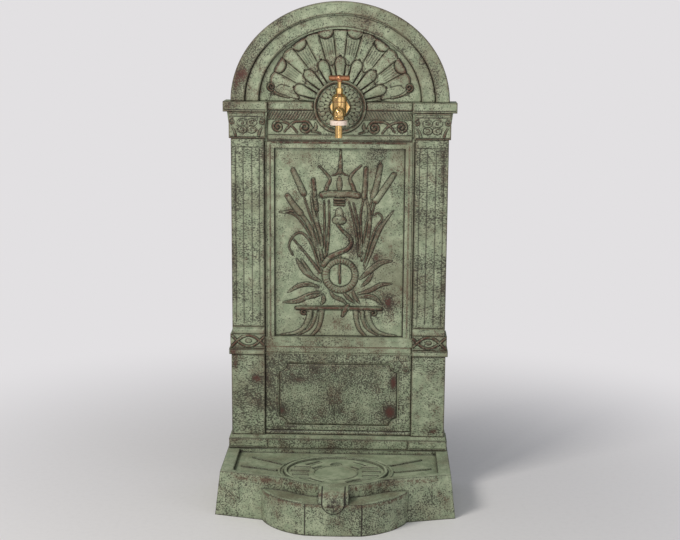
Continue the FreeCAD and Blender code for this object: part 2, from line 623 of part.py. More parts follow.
def basin():
    """The hollow basin casting: battered wings, a drum front, a sunk tray and the drain bowl."""
    wings = basin_block(0.0, BASIN_HEIGHT, 0.0, 0.0, WALL_Y)
    shell = fuse([wings, drum(0.0, DRUM_HEIGHT, 0.0), spout_block(), spout_shield()])
    shell = shell.cut(basin_block(-OVERCUT, TRAY_UNDERSIDE, CAST_WALL, CAST_WALL, WALL_Y - CAST_WALL))
    shell = shell.cut(drum(-OVERCUT, DRUM_HEIGHT - CAST_WALL, CAST_WALL))
    shell = fuse([shell, sump(CAST_WALL, SUMP_FLOOR - CAST_WALL, TRAY_UNDERSIDE + OVERCUT)])
    tray_back = PILASTER_Y - PLINTH_PROUD - CAST_WALL / 2
    shell = shell.cut(basin_block(TRAY_Z, BASIN_HEIGHT + OVERCUT, SIDE_RIM, FRONT_RIM, tray_back))
    shell = fuse([shell] + tray_ribs())
    shell = shell.cut(oval(GRATE_HALF_WIDTH + GRATE_CLEARANCE, GRATE_HALF_DEPTH + GRATE_CLEARANCE,
                           GRATE_BOTTOM - GRATE_SEAT_GAP, BASIN_HEIGHT + OVERCUT))
    shell = shell.cut(sump(0.0, SUMP_FLOOR, GRATE_BOTTOM))
    shell = shell.cut(rod(DRAIN_THREAD_RADIUS + DRAIN_HOLE_CLEARANCE, SUMP_FLOOR - CAST_WALL - OVERCUT,
                          SUMP_FLOOR + OVERCUT, Z_AXIS, y=GRATE_Y))
    for x in bolt_places():
        shell = shell.cut(rod(BOLT_HOLE_RADIUS, TRAY_UNDERSIDE - OVERCUT, BASIN_HEIGHT + OVERCUT, Z_AXIS,
                              x=x, y=BOLT_Y))
    return shell


def slot(length, angle, x, y):
    """A straight slot with round ends through the grate."""
    z0 = GRATE_BOTTOM - OVERCUT
    z1 = TRAY_Z + GRATE_RING_HEIGHT + OVERCUT
    half = length / 2
    bar = box(-half, half, -GRATE_SLOT / 2, GRATE_SLOT / 2, z0, z1)
    ends = [rod(GRATE_SLOT / 2, z0, z1, Z_AXIS, x=-half), rod(GRATE_SLOT / 2, z0, z1, Z_AXIS, x=half)]
    shape = fuse([bar] + ends)
    shape.rotate(V(0, 0, 0), Z_AXIS, angle)
    shape.translate(V(x, GRATE_Y + y, 0))
    return shape


def drain_grate():
    """The lift-out oval grate: raised double ring, slatted sides, slanted slots and a finger hole."""
    top = TRAY_Z
    plate = oval(GRATE_HALF_WIDTH, GRATE_HALF_DEPTH, GRATE_BOTTOM, top)
    ring = oval(GRATE_HALF_WIDTH, GRATE_HALF_DEPTH, top, top + GRATE_RING_HEIGHT)
    ring = ring.cut(oval(GRATE_HALF_WIDTH - GRATE_RING_WIDTH, GRATE_HALF_DEPTH - GRATE_RING_WIDTH,
                         top - OVERCUT, top + GRATE_RING_HEIGHT + OVERCUT))
    grate = fuse([plate, ring])
    for length, x, y in SIDE_SLOTS:
        for side in (-1, 1):
            grate = grate.cut(slot(length, 0.0, side * x, y))
    for length, angle, x, y in SLANTED_SLOTS:
        for side in (-1, 1):
            grate = grate.cut(slot(length, side * angle, side * x, y))
    hole_y = GRATE_Y + FINGER_HOLE_BACK
    finger = rod(FINGER_HOLE_RADIUS, GRATE_BOTTOM - OVERCUT, top + OVERCUT, Z_AXIS, y=hole_y)
    finger = finger.common(box(-FINGER_HOLE_RADIUS, FINGER_HOLE_RADIUS, hole_y - FINGER_HOLE_STRAIGHT,
                               hole_y + FINGER_HOLE_RADIUS, 0, BASIN_HEIGHT))
    return grate.cut(finger)


def drain_nut_top():
    """The height of the face where the waste's nut meets its seal."""
    return SUMP_FLOOR - CAST_WALL - DRAIN_SEAL


def drain_outlet():
    """The flanged waste spigot that hangs from the sump's floor."""
    bottom = SUMP_FLOOR + DRAIN_FLANGE_THICKNESS
    spigot = tube(DRAIN_RADIUS, DRAIN_RADIUS - DRAIN_WALL, DRAIN_FLOOR_GAP, bottom, Z_AXIS, y=GRATE_Y)
    thread = tube(DRAIN_THREAD_RADIUS, DRAIN_RADIUS - DRAIN_WALL, drain_nut_top() - DRAIN_NUT_HEIGHT, bottom,
                  Z_AXIS, y=GRATE_Y)
    flange = tube(DRAIN_FLANGE_RADIUS, DRAIN_RADIUS - DRAIN_WALL, SUMP_FLOOR, bottom, Z_AXIS, y=GRATE_Y)
    return fuse([spigot, thread, flange])


def drain_strainer():
    """The perforated disc that lies on the waste flange."""
    z0 = SUMP_FLOOR + DRAIN_FLANGE_THICKNESS
    z1 = z0 + STRAINER_THICKNESS
    disc = rod(DRAIN_FLANGE_RADIUS - OVERCUT, z0, z1, Z_AXIS, y=GRATE_Y)
    holes = [rod(STRAINER_HOLE_RADIUS, z0 - OVERCUT, z1 + OVERCUT, Z_AXIS, y=GRATE_Y)]
    for count, radius in ((6, 6.0), (12, 12.5)):
        for k in range(count):
            angle = 2 * math.pi * k / count
            holes.append(rod(STRAINER_HOLE_RADIUS, z0 - OVERCUT, z1 + OVERCUT, Z_AXIS,
                             x=radius * math.cos(angle), y=GRATE_Y + radius * math.sin(angle)))
    return disc.cut(Part.makeCompound(holes))


def drain_seal():
    """The rubber ring under the sump's floor."""
    bottom = drain_nut_top()
    return tube(DRAIN_FLANGE_RADIUS, DRAIN_THREAD_RADIUS + THREAD_CLEARANCE, bottom, bottom + DRAIN_SEAL,
                Z_AXIS, y=GRATE_Y)


def drain_backnut():
    """The large nut that pulls the waste up against the sump."""
    top = drain_nut_top()
    nut = hexagon(DRAIN_NUT_FLATS, top - DRAIN_NUT_HEIGHT, top, Z_AXIS, y=GRATE_Y)
    bore = DRAIN_THREAD_RADIUS + THREAD_CLEARANCE
    return nut.cut(rod(bore, top - DRAIN_NUT_HEIGHT - OVERCUT, top + OVERCUT, Z_AXIS, y=GRATE_Y))


# ---------------------------------------------------------------- the tap
def tap_body():
    """The tap's casting: inlet tail, seat chamber, drooping spout and the outlet's thread."""
    face = ROUNDEL_Y - FLANGE_THICKNESS
    tail_end = elbow_axis_y() - ELBOW_LEG_RADIUS + THREAD_BITE
    top = BARREL_TOP
    low = TAP_HEIGHT - BARREL_BELOW
    spout_z = TAP_HEIGHT - SPOUT_SAG
    downway_y = STEM_Y - DOWNWAY_REACH
    outside = [
        rod(BARREL_RADIUS, low, top, Z_AXIS, y=STEM_Y),
        rod(NECK_RADIUS, STEM_Y, face, Y_AXIS, z=TAP_HEIGHT),
        rod(INLET_THREAD_RADIUS, STEM_Y, tail_end, Y_AXIS, z=TAP_HEIGHT),
        rod(SPOUT_RADIUS, OUTLET_Y, STEM_Y, Y_AXIS, z=spout_z),
        Part.makeSphere(SPOUT_RADIUS, V(0, OUTLET_Y, spout_z)),
        rod(SPOUT_RADIUS, SPOUT_SHOULDER, spout_z, Z_AXIS, y=OUTLET_Y),
        rod(OUTLET_THREAD_RADIUS, OUTLET_END, SPOUT_SHOULDER, Z_AXIS, y=OUTLET_Y),
    ]
    body = fuse(outside)
    spigot = BONNET_SPIGOT_RADIUS + THREAD_CLEARANCE
    cuts = [
        rod(spigot, top - BONNET_SPIGOT_LENGTH - THREAD_CLEARANCE, top + OVERCUT, Z_AXIS, y=STEM_Y),
        rod(CHAMBER_RADIUS, SEAT_Z, top, Z_AXIS, y=STEM_Y),
        rod(WATERWAY_RADIUS, TAP_HEIGHT, SEAT_Z + OVERCUT, Z_AXIS, y=STEM_Y),
        rod(WATERWAY_RADIUS, STEM_Y, tail_end + OVERCUT, Y_AXIS, z=TAP_HEIGHT),
        rod(WATERWAY_RADIUS, OUTLET_END - OVERCUT, spout_z, Z_AXIS, y=OUTLET_Y),
        rod(PASSAGE_RADIUS, OUTLET_Y, downway_y, Y_AXIS, z=spout_z),
        rod(DOWNWAY_RADIUS, spout_z, SEAT_Z + OVERCUT, Z_AXIS, y=downway_y),
    ]
    for tool in cuts:
        body = body.cut(tool)
    return body


def tap_flange():
    """The hexagonal wall flange between the tap and the roundel."""
    face = ROUNDEL_Y - FLANGE_THICKNESS
    prism = hexagon(FLANGE_FLATS, face, ROUNDEL_Y, Y_AXIS, z=TAP_HEIGHT)
    return prism.cut(rod(INLET_THREAD_RADIUS + THREAD_CLEARANCE, face - OVERCUT, ROUNDEL_Y + OVERCUT, Y_AXIS,
                         z=TAP_HEIGHT))


def tap_bonnet():
    """The domed head that carries the spindle, with its spigot screwed into the barrel."""
    dome = Part.makeCone(BONNET_RADIUS, BONNET_TOP_RADIUS, BONNET_DOME,
                         V(0, STEM_Y, BONNET_TOP - BONNET_DOME))
    collar = rod(BONNET_RADIUS, BONNET_BOTTOM, BONNET_TOP - BONNET_DOME, Z_AXIS, y=STEM_Y)
    foot = BARREL_TOP - BONNET_SPIGOT_LENGTH
    spigot = rod(BONNET_SPIGOT_RADIUS, foot, BONNET_BOTTOM + OVERCUT, Z_AXIS, y=STEM_Y)
    bonnet = fuse([dome, collar, spigot])
    bonnet = bonnet.cut(rod(JUMPER_RADIUS + JUMPER_CLEARANCE, foot - OVERCUT,
                            BONNET_TOP - BONNET_ROOF, Z_AXIS, y=STEM_Y))
    bonnet = bonnet.cut(rod(SPINDLE_RADIUS + RUNNING_CLEARANCE, BONNET_BOTTOM, BONNET_TOP + OVERCUT, Z_AXIS,
                            y=STEM_Y))
    return bonnet.cut(rod(GLAND_BORE_RADIUS, BONNET_TOP - GLAND_BORE_DEPTH, BONNET_TOP + OVERCUT, Z_AXIS,
                          y=STEM_Y))


def bonnet_seal():
    """The thin fibre washer under the bonnet's collar."""
    return tube(BONNET_RADIUS - BONNET_SEAL_INSET, BONNET_SPIGOT_RADIUS + THREAD_CLEARANCE,
                BARREL_TOP, BONNET_BOTTOM, Z_AXIS, y=STEM_Y)


def gland_packing():
    """The packing ring that seals the spindle."""
    z0 = BONNET_TOP - GLAND_BORE_DEPTH
    return tube(GLAND_BORE_RADIUS - THREAD_CLEARANCE, SPINDLE_RADIUS + RUNNING_CLEARANCE, z0,
                z0 + PACKING_HEIGHT, Z_AXIS, y=STEM_Y)


def gland_nut():
    """The nut that presses the packing down."""
    z0 = BONNET_TOP - GLAND_BORE_DEPTH + PACKING_HEIGHT
    top = BONNET_TOP + GLAND_NUT_HEIGHT
    nut = fuse([
        rod(GLAND_BORE_RADIUS - THREAD_CLEARANCE, z0, BONNET_TOP + OVERCUT, Z_AXIS, y=STEM_Y),
        hexagon(GLAND_NUT_FLATS, BONNET_TOP, top, Z_AXIS, y=STEM_Y),
    ])
    return nut.cut(rod(SPINDLE_RADIUS + RUNNING_CLEARANCE, z0 - OVERCUT, top + OVERCUT, Z_AXIS, y=STEM_Y))


def jumper_top():
    """The height of the jumper's plate, where the spindle presses on it."""
    return WASHER_Z + VALVE_WASHER_THICKNESS + JUMPER_THICKNESS


def spindle():
    """The rising spindle, from the jumper up into the handle's hub."""
    post = rod(SPINDLE_RADIUS, jumper_top() + THREAD_CLEARANCE, HANDLE_Z + HANDLE_SOCKET, Z_AXIS, y=STEM_Y)
    return post.cut(handle_pin_hole())


def handle_pin_hole():
    """The cross hole for the handle's pin."""
    reach = HANDLE_HUB_RADIUS + OVERCUT
    return rod(HANDLE_PIN_RADIUS, STEM_Y - reach, STEM_Y + reach, Y_AXIS, z=HANDLE_Z)


def tee_handle():
    """The T handle: a round bar across a ball hub with a short skirt."""
    half = HANDLE_HALF_LENGTH - HANDLE_TIP
    bar = rod(HANDLE_BAR_RADIUS, -half, half, X_AXIS, y=STEM_Y, z=HANDLE_Z)
    ends = [
        Part.makeCone(HANDLE_BAR_RADIUS, HANDLE_TIP_RADIUS, HANDLE_TIP,
                      V(side * half, STEM_Y, HANDLE_Z), V(side, 0, 0))
        for side in (-1, 1)
    ]
    hub = Part.makeSphere(HANDLE_HUB_RADIUS, V(0, STEM_Y, HANDLE_Z))
    skirt = rod(HANDLE_SKIRT_RADIUS, HANDLE_Z - HANDLE_SKIRT_LENGTH, HANDLE_Z, Z_AXIS, y=STEM_Y)
    handle = fuse([bar, hub, skirt] + ends)
    handle = handle.cut(rod(SPINDLE_RADIUS + THREAD_CLEARANCE / 2, HANDLE_Z - HANDLE_SKIRT_LENGTH - OVERCUT,
                            HANDLE_Z + HANDLE_SOCKET + THREAD_CLEARANCE, Z_AXIS, y=STEM_Y))
    return handle.cut(handle_pin_hole())


def handle_pin():
    """The pin that fixes the handle to the spindle."""
    reach = HANDLE_HUB_RADIUS - HANDLE_PIN_INSET
    return rod(HANDLE_PIN_RADIUS - RUNNING_CLEARANCE / 2, STEM_Y - reach, STEM_Y + reach, Y_AXIS, z=HANDLE_Z)


def jumper():
    """The valve disc, with a thin stud below it for the washer and its nut."""
    z0 = WASHER_Z + VALVE_WASHER_THICKNESS
    plate = rod(JUMPER_RADIUS, z0, jumper_top(), Z_AXIS, y=STEM_Y)
    tip = WASHER_Z - JUMPER_NUT_HEIGHT - JUMPER_STUD_TIP
    stud = rod(JUMPER_STEM_RADIUS, tip, z0 + OVERCUT, Z_AXIS, y=STEM_Y)
    return fuse([plate, stud])


def jumper_washer():
    """The rubber washer that closes the seat."""
    return tube(VALVE_WASHER_RADIUS, JUMPER_STEM_RADIUS + THREAD_CLEARANCE / 2, WASHER_Z,
                WASHER_Z + VALVE_WASHER_THICKNESS, Z_AXIS, y=STEM_Y)


def jumper_nut():
    """The small nut under the washer."""
    nut = hexagon(JUMPER_NUT_FLATS, WASHER_Z - JUMPER_NUT_HEIGHT, WASHER_Z, Z_AXIS, y=STEM_Y)
    return nut.cut(rod(JUMPER_STEM_RADIUS + THREAD_CLEARANCE / 2, WASHER_Z - JUMPER_NUT_HEIGHT - OVERCUT,
                       WASHER_Z + OVERCUT, Z_AXIS, y=STEM_Y))


def tail_top():
    """The height of the hose tail's upper face, under the outlet washer."""
    return OUTLET_END - OUTLET_WASHER


def ring_bottom():
    """The underside of the outlet ring's lip."""
    return tail_top() - TAIL_FLANGE - RING_LIP


def outlet_ring():
    """The round union ring that holds the hose tail to the outlet."""
    z0 = ring_bottom()
    z1 = z0 + RING_HEIGHT
    ring = rod(RING_RADIUS, z0, z1, Z_AXIS, y=OUTLET_Y)
    thread = OUTLET_THREAD_RADIUS + THREAD_CLEARANCE
    ring = ring.cut(rod(thread, z0 + RING_LIP, z1 + OVERCUT, Z_AXIS, y=OUTLET_Y))
    return ring.cut(rod(TAIL_COLLAR_RADIUS + THREAD_CLEARANCE, z0 - OVERCUT, z1, Z_AXIS, y=OUTLET_Y))


def outlet_washer():
    """The rubber washer inside the union."""
    return tube(TAIL_FLANGE_RADIUS, TAIL_BORE_RADIUS, tail_top(), OUTLET_END, Z_AXIS, y=OUTLET_Y)


def hose_tail():
    """The plain spout tail that a hose pushes onto."""
    z0 = ring_bottom() - TAIL_LENGTH
    flange = rod(TAIL_FLANGE_RADIUS, tail_top() - TAIL_FLANGE, tail_top(), Z_AXIS, y=OUTLET_Y)
    collar = rod(TAIL_COLLAR_RADIUS, ring_bottom(), tail_top(), Z_AXIS, y=OUTLET_Y)
    tail = fuse([flange, collar, rod(TAIL_RADIUS, z0, tail_top(), Z_AXIS, y=OUTLET_Y)])
    return tail.cut(rod(TAIL_BORE_RADIUS, z0 - OVERCUT, tail_top() + OVERCUT, Z_AXIS, y=OUTLET_Y))


# ---------------------------------------------------------------- the inlet behind the panel
def elbow_axis_y():
    """How far back the elbow's leg stands, just clear of the wall."""
    return WALL_Y - ELBOW_WALL_GAP - ELBOW_LEG_RADIUS


def inlet_washer():
    """The fibre washer between the panel's back and the nut."""
    return tube(BACKNUT_FLATS / 2, INLET_THREAD_RADIUS + THREAD_CLEARANCE, CAVITY_Y, CAVITY_Y + INLET_WASHER,
                Y_AXIS, z=TAP_HEIGHT)


def inlet_backnut():
    """The nut that clamps the tap to the panel."""
    y0 = CAVITY_Y + INLET_WASHER
    nut = hexagon(BACKNUT_FLATS, y0, y0 + BACKNUT_HEIGHT, Y_AXIS, z=TAP_HEIGHT)
    return nut.cut(rod(INLET_THREAD_RADIUS + THREAD_CLEARANCE, y0 - OVERCUT, y0 + BACKNUT_HEIGHT + OVERCUT,
                       Y_AXIS, z=TAP_HEIGHT))


def inlet_elbow():
    """The elbow on the tap's tail, with a threaded leg that points down."""
    axis_y = elbow_axis_y()
    y0 = CAVITY_Y + INLET_WASHER + BACKNUT_HEIGHT + ELBOW_NUT_GAP
    back = WALL_Y - ELBOW_WALL_GAP
    socket_end = axis_y - ELBOW_LEG_RADIUS + THREAD_BITE
    elbow = fuse([
        rod(ELBOW_RADIUS, y0, back, Y_AXIS, z=TAP_HEIGHT),
        rod(ELBOW_LEG_RADIUS, TAP_HEIGHT - ELBOW_DROP + ELBOW_THREAD_LENGTH, TAP_HEIGHT, Z_AXIS, y=axis_y),
        rod(INLET_THREAD_RADIUS, TAP_HEIGHT - ELBOW_DROP, TAP_HEIGHT, Z_AXIS, y=axis_y),
    ])
    elbow = elbow.cut(rod(INLET_THREAD_RADIUS + THREAD_CLEARANCE, y0 - OVERCUT, socket_end,
                          Y_AXIS, z=TAP_HEIGHT))
    elbow = elbow.cut(rod(WATERWAY_RADIUS, y0, axis_y + WATERWAY_RADIUS, Y_AXIS, z=TAP_HEIGHT))
    return elbow.cut(rod(WATERWAY_RADIUS, TAP_HEIGHT - ELBOW_DROP - OVERCUT, TAP_HEIGHT, Z_AXIS, y=axis_y))


# ---------------------------------------------------------------- fixings
def bolt_places():
    """Where the panel is bolted to the basin, along X."""
    return [side * spacing for spacing in BOLT_SPACINGS for side in (-1, 1)]


def joint_bolts():
    """The bolts that come up from under the basin into the panel's foot."""
    head_top = TRAY_UNDERSIDE
    tip = PANEL_FLOOR_TOP + WASHER_THICKNESS + NUT_HEIGHT + BOLT_TIP
    bolts = []
    for x in bolt_places():
        head = hexagon(BOLT_HEAD_FLATS, head_top - BOLT_HEAD_HEIGHT, head_top, Z_AXIS, x=x, y=BOLT_Y)
        bolts.append(fuse([head, rod(BOLT_RADIUS, head_top, tip, Z_AXIS, x=x, y=BOLT_Y)]))
    return Part.makeCompound(bolts)


def joint_washers():
    """The washers under the nuts inside the panel's foot."""
    bottom = PANEL_FLOOR_TOP
    return Part.makeCompound([
        tube(WASHER_RADIUS, BOLT_RADIUS + THREAD_CLEARANCE, bottom, bottom + WASHER_THICKNESS,
             Z_AXIS, x=x, y=BOLT_Y)
        for x in bolt_places()
    ])


def joint_nuts():
    """The nuts inside the panel's foot."""
    z0 = PANEL_FLOOR_TOP + WASHER_THICKNESS
    nuts = []
    for x in bolt_places():
        nut = hexagon(BOLT_HEAD_FLATS, z0, z0 + NUT_HEIGHT, Z_AXIS, x=x, y=BOLT_Y)
        nuts.append(nut.cut(rod(BOLT_RADIUS + THREAD_CLEARANCE, z0 - OVERCUT, z0 + NUT_HEIGHT + OVERCUT,
                                Z_AXIS, x=x, y=BOLT_Y)))
    return Part.makeCompound(nuts)


def hanging_plate(side):
    """One steel plate flush with the panel's back, with a keyhole that drops over a wall screw."""
    x = side * PLATE_SPACING / 2
    half = PLATE_WIDTH / 2
    z0 = PLATE_CENTRE_HEIGHT - PLATE_HEIGHT / 2
    plate = box(x - half, x + half, PLATE_Y, WALL_Y, z0, z0 + PLATE_HEIGHT)
    ends = (PLATE_Y - OVERCUT, WALL_Y + OVERCUT)
    entry_z = PLATE_CENTRE_HEIGHT - KEYHOLE_DROP
    keyhole = fuse([
        rod(WALL_SCREW_HOLE, *ends, Y_AXIS, x=x, z=PLATE_CENTRE_HEIGHT),
        box(x - KEYHOLE_NECK, x + KEYHOLE_NECK, *ends, entry_z, PLATE_CENTRE_HEIGHT),
        rod(KEYHOLE_ENTRY, *ends, Y_AXIS, x=x, z=entry_z),
    ])
    plate = plate.cut(keyhole)
    for up in (-1, 1):
        z = PLATE_CENTRE_HEIGHT + up * PLATE_SCREW_OFFSET
        plate = plate.cut(rod(PLATE_SCREW_RADIUS + THREAD_CLEARANCE, *ends, Y_AXIS, x=x, z=z))
        plate = plate.cut(rod(PLATE_SCREW_HEAD_RADIUS + THREAD_CLEARANCE, WALL_Y - PLATE_SCREW_HEAD, ends[1],
                              Y_AXIS, x=x, z=z))
    return plate


def hanging_plate_left():
    """The plate on the left, seen from the front."""
    return hanging_plate(-1)


def hanging_plate_right():
    """The plate on the right, seen from the front."""
    return hanging_plate(1)


def plate_screws():
    """The sunk screws that hold the plates to the panel's bosses."""
    screws = []
    for x, z in boss_places():
        shank = rod(PLATE_SCREW_RADIUS - THREAD_CLEARANCE, PLATE_Y - SCREW_BITE, WALL_Y - PLATE_SCREW_HEAD,
                    Y_AXIS, x=x, z=z)
        head = rod(PLATE_SCREW_HEAD_RADIUS, WALL_Y - PLATE_SCREW_HEAD, WALL_Y, Y_AXIS, x=x, z=z)
        screws.append(fuse([shank, head]))
    return Part.makeCompound(screws)


PIECES = (
    back_panel, basin, drain_grate, drain_outlet, drain_strainer, drain_seal, drain_backnut,
    tap_body, tap_flange, tap_bonnet, bonnet_seal, gland_packing, gland_nut, spindle, tee_handle, handle_pin,
    jumper, jumper_washer, jumper_nut, outlet_ring, outlet_washer, hose_tail,
    inlet_washer, inlet_backnut, inlet_elbow,
    joint_bolts, joint_washers, joint_nuts, hanging_plate_left, hanging_plate_right, plate_screws,
)


def main():
    """Builds each piece and writes it to its own file."""
    os.makedirs("parts", exist_ok=True)
    for piece in PIECES:
        shape = piece()
        shape.exportStep("parts/%s.step" % piece.__name__)
        print("%-20s solids %d valid %s volume %.0f" % (
            piece.__name__, len(shape.Solids), shape.isValid(), shape.Volume))


main()
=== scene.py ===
"""A cast-iron wall fountain with a brass tap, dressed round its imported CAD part.

The castings and the tap's hidden parts come from the frame. This script lays the cast relief over the
panel, gives the tap its soft shapes, and paints everything. Relief sizes are in millimetres, and they
are turned into metres when a mesh is made.
"""
import json
import logging
import math
from dataclasses import dataclass
from enum import Enum
from typing import Callable, Sequence

import bpy
import numpy as np
from mathutils import Matrix, Vector


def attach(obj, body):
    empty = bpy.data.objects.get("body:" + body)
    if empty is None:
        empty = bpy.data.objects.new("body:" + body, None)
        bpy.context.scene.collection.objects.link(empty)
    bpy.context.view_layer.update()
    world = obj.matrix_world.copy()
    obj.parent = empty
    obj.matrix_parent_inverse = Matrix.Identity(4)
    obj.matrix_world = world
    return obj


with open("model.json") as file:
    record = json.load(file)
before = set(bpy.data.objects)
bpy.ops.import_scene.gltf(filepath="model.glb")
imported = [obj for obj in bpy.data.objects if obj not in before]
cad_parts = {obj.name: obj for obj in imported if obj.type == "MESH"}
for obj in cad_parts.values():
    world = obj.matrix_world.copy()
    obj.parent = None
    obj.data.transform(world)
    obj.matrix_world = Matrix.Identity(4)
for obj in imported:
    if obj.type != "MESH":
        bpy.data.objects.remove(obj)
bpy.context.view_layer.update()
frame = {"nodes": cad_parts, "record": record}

logging.basicConfig(level=logging.INFO, format="%(message)s")
LOG = logging.getLogger("fountain")

MM = 0.001
BODY = "fountain"
Point = tuple[float, float]


class Side(Enum):
    """The two sides of the symmetric castings."""

    LEFT = -1
    RIGHT = 1


def srgb(red: int, green: int, blue: int) -> tuple[float, float, float, float]:
    """Turns an eight-bit display colour into a linear one.

    Args:
        red, green, blue: Display values from 0 to 255.

    Returns:
        Linear red, green, blue and an alpha of one.
    """
    def linear(value: int) -> float:
        part = value / 255
        return part / 12.92 if part <= 0.04045 else ((part + 0.055) / 1.055) ** 2.4

    return (linear(red), linear(green), linear(blue), 1.0)


# ---------------------------------------------------------------- heights drawn over a grid
def smooth_curve(points: Sequence[Point], steps: int = 10) -> np.ndarray:
    """A Catmull-Rom curve through points.

    Args:
        points: The places that the curve passes through.
        steps: How many pieces each span is cut into.

    Returns:
        An array of x and z pairs.
    """
    p = np.asarray(points, float)
    if len(p) < 3:
        return p
    p = np.vstack([2 * p[0] - p[1], p, 2 * p[-1] - p[-2]])
    t = np.linspace(0, 1, steps, endpoint=False)[:, None]
    spans = []
    for a, b, c, d in zip(p[:-3], p[1:-2], p[2:-1], p[3:]):
        spans.append(0.5 * (2 * b + (c - a) * t + (2 * a - 5 * b + 4 * c - d) * t**2
                            + (3 * b - a - 3 * c + d) * t**3))
    return np.vstack(spans + [p[-2][None]])


def spiral(centre: Point, radius: float, turns: float, start: float, hand: int) -> np.ndarray:
    """A scroll that winds in to its eye.

    Args:
        centre: The eye.
        radius: The outer radius.
        turns: How many turns it makes.
        start: The angle of its outer end, in degrees.
        hand: 1 winds anticlockwise and -1 clockwise.

    Returns:
        An array of x and z pairs.
    """
    t = np.linspace(0, 1, int(22 * turns) + 2)
    r = radius * (1 - 0.82 * t)
    a = np.radians(start) + hand * 2 * np.pi * turns * t
    return np.stack([centre[0] + r * np.cos(a), centre[1] + r * np.sin(a)], -1)


def blur(values: np.ndarray, sigma: tuple[float, float]) -> np.ndarray:
    """A separable Gaussian blur with repeated edges.

    Args:
        values: A two-dimensional array.
        sigma: The blur along rows and along columns, in cells.

    Returns:
        The blurred array.
    """
    for axis, width in enumerate(sigma):
        reach = max(int(3 * width), 1)
        kernel = np.exp(-0.5 * (np.arange(-reach, reach + 1) / max(width, 1e-3)) ** 2)
        kernel /= kernel.sum()
        pad = [(reach, reach) if k == axis else (0, 0) for k in (0, 1)]
        padded = np.pad(values, pad, mode="edge")
        size = values.shape[axis]
        values = sum(w * np.take(padded, np.arange(k, k + size), axis=axis) for k, w in enumerate(kernel))
    return values


def step(value: np.ndarray, low: float, high: float) -> np.ndarray:
    """A smooth ramp from 0 at low to 1 at high."""
    t = np.clip((value - low) / (high - low), 0, 1)
    return t * t * (3 - 2 * t)


def bump(away: np.ndarray, width: float) -> np.ndarray:
    """A soft bump, one where the distance is zero."""
    return np.exp(-((away / width) ** 2))


def rounded(share: np.ndarray) -> np.ndarray:
    """A quarter circle, from one at zero down to zero at one."""
    return np.sqrt(np.clip(1 - share**2, 0, 1))


def mirrored(points: Sequence[Point], side: int) -> list[Point]:
    """The points on one side: as they are for 1, and mirrored for -1."""
    return [(side * x, z) for x, z in points]


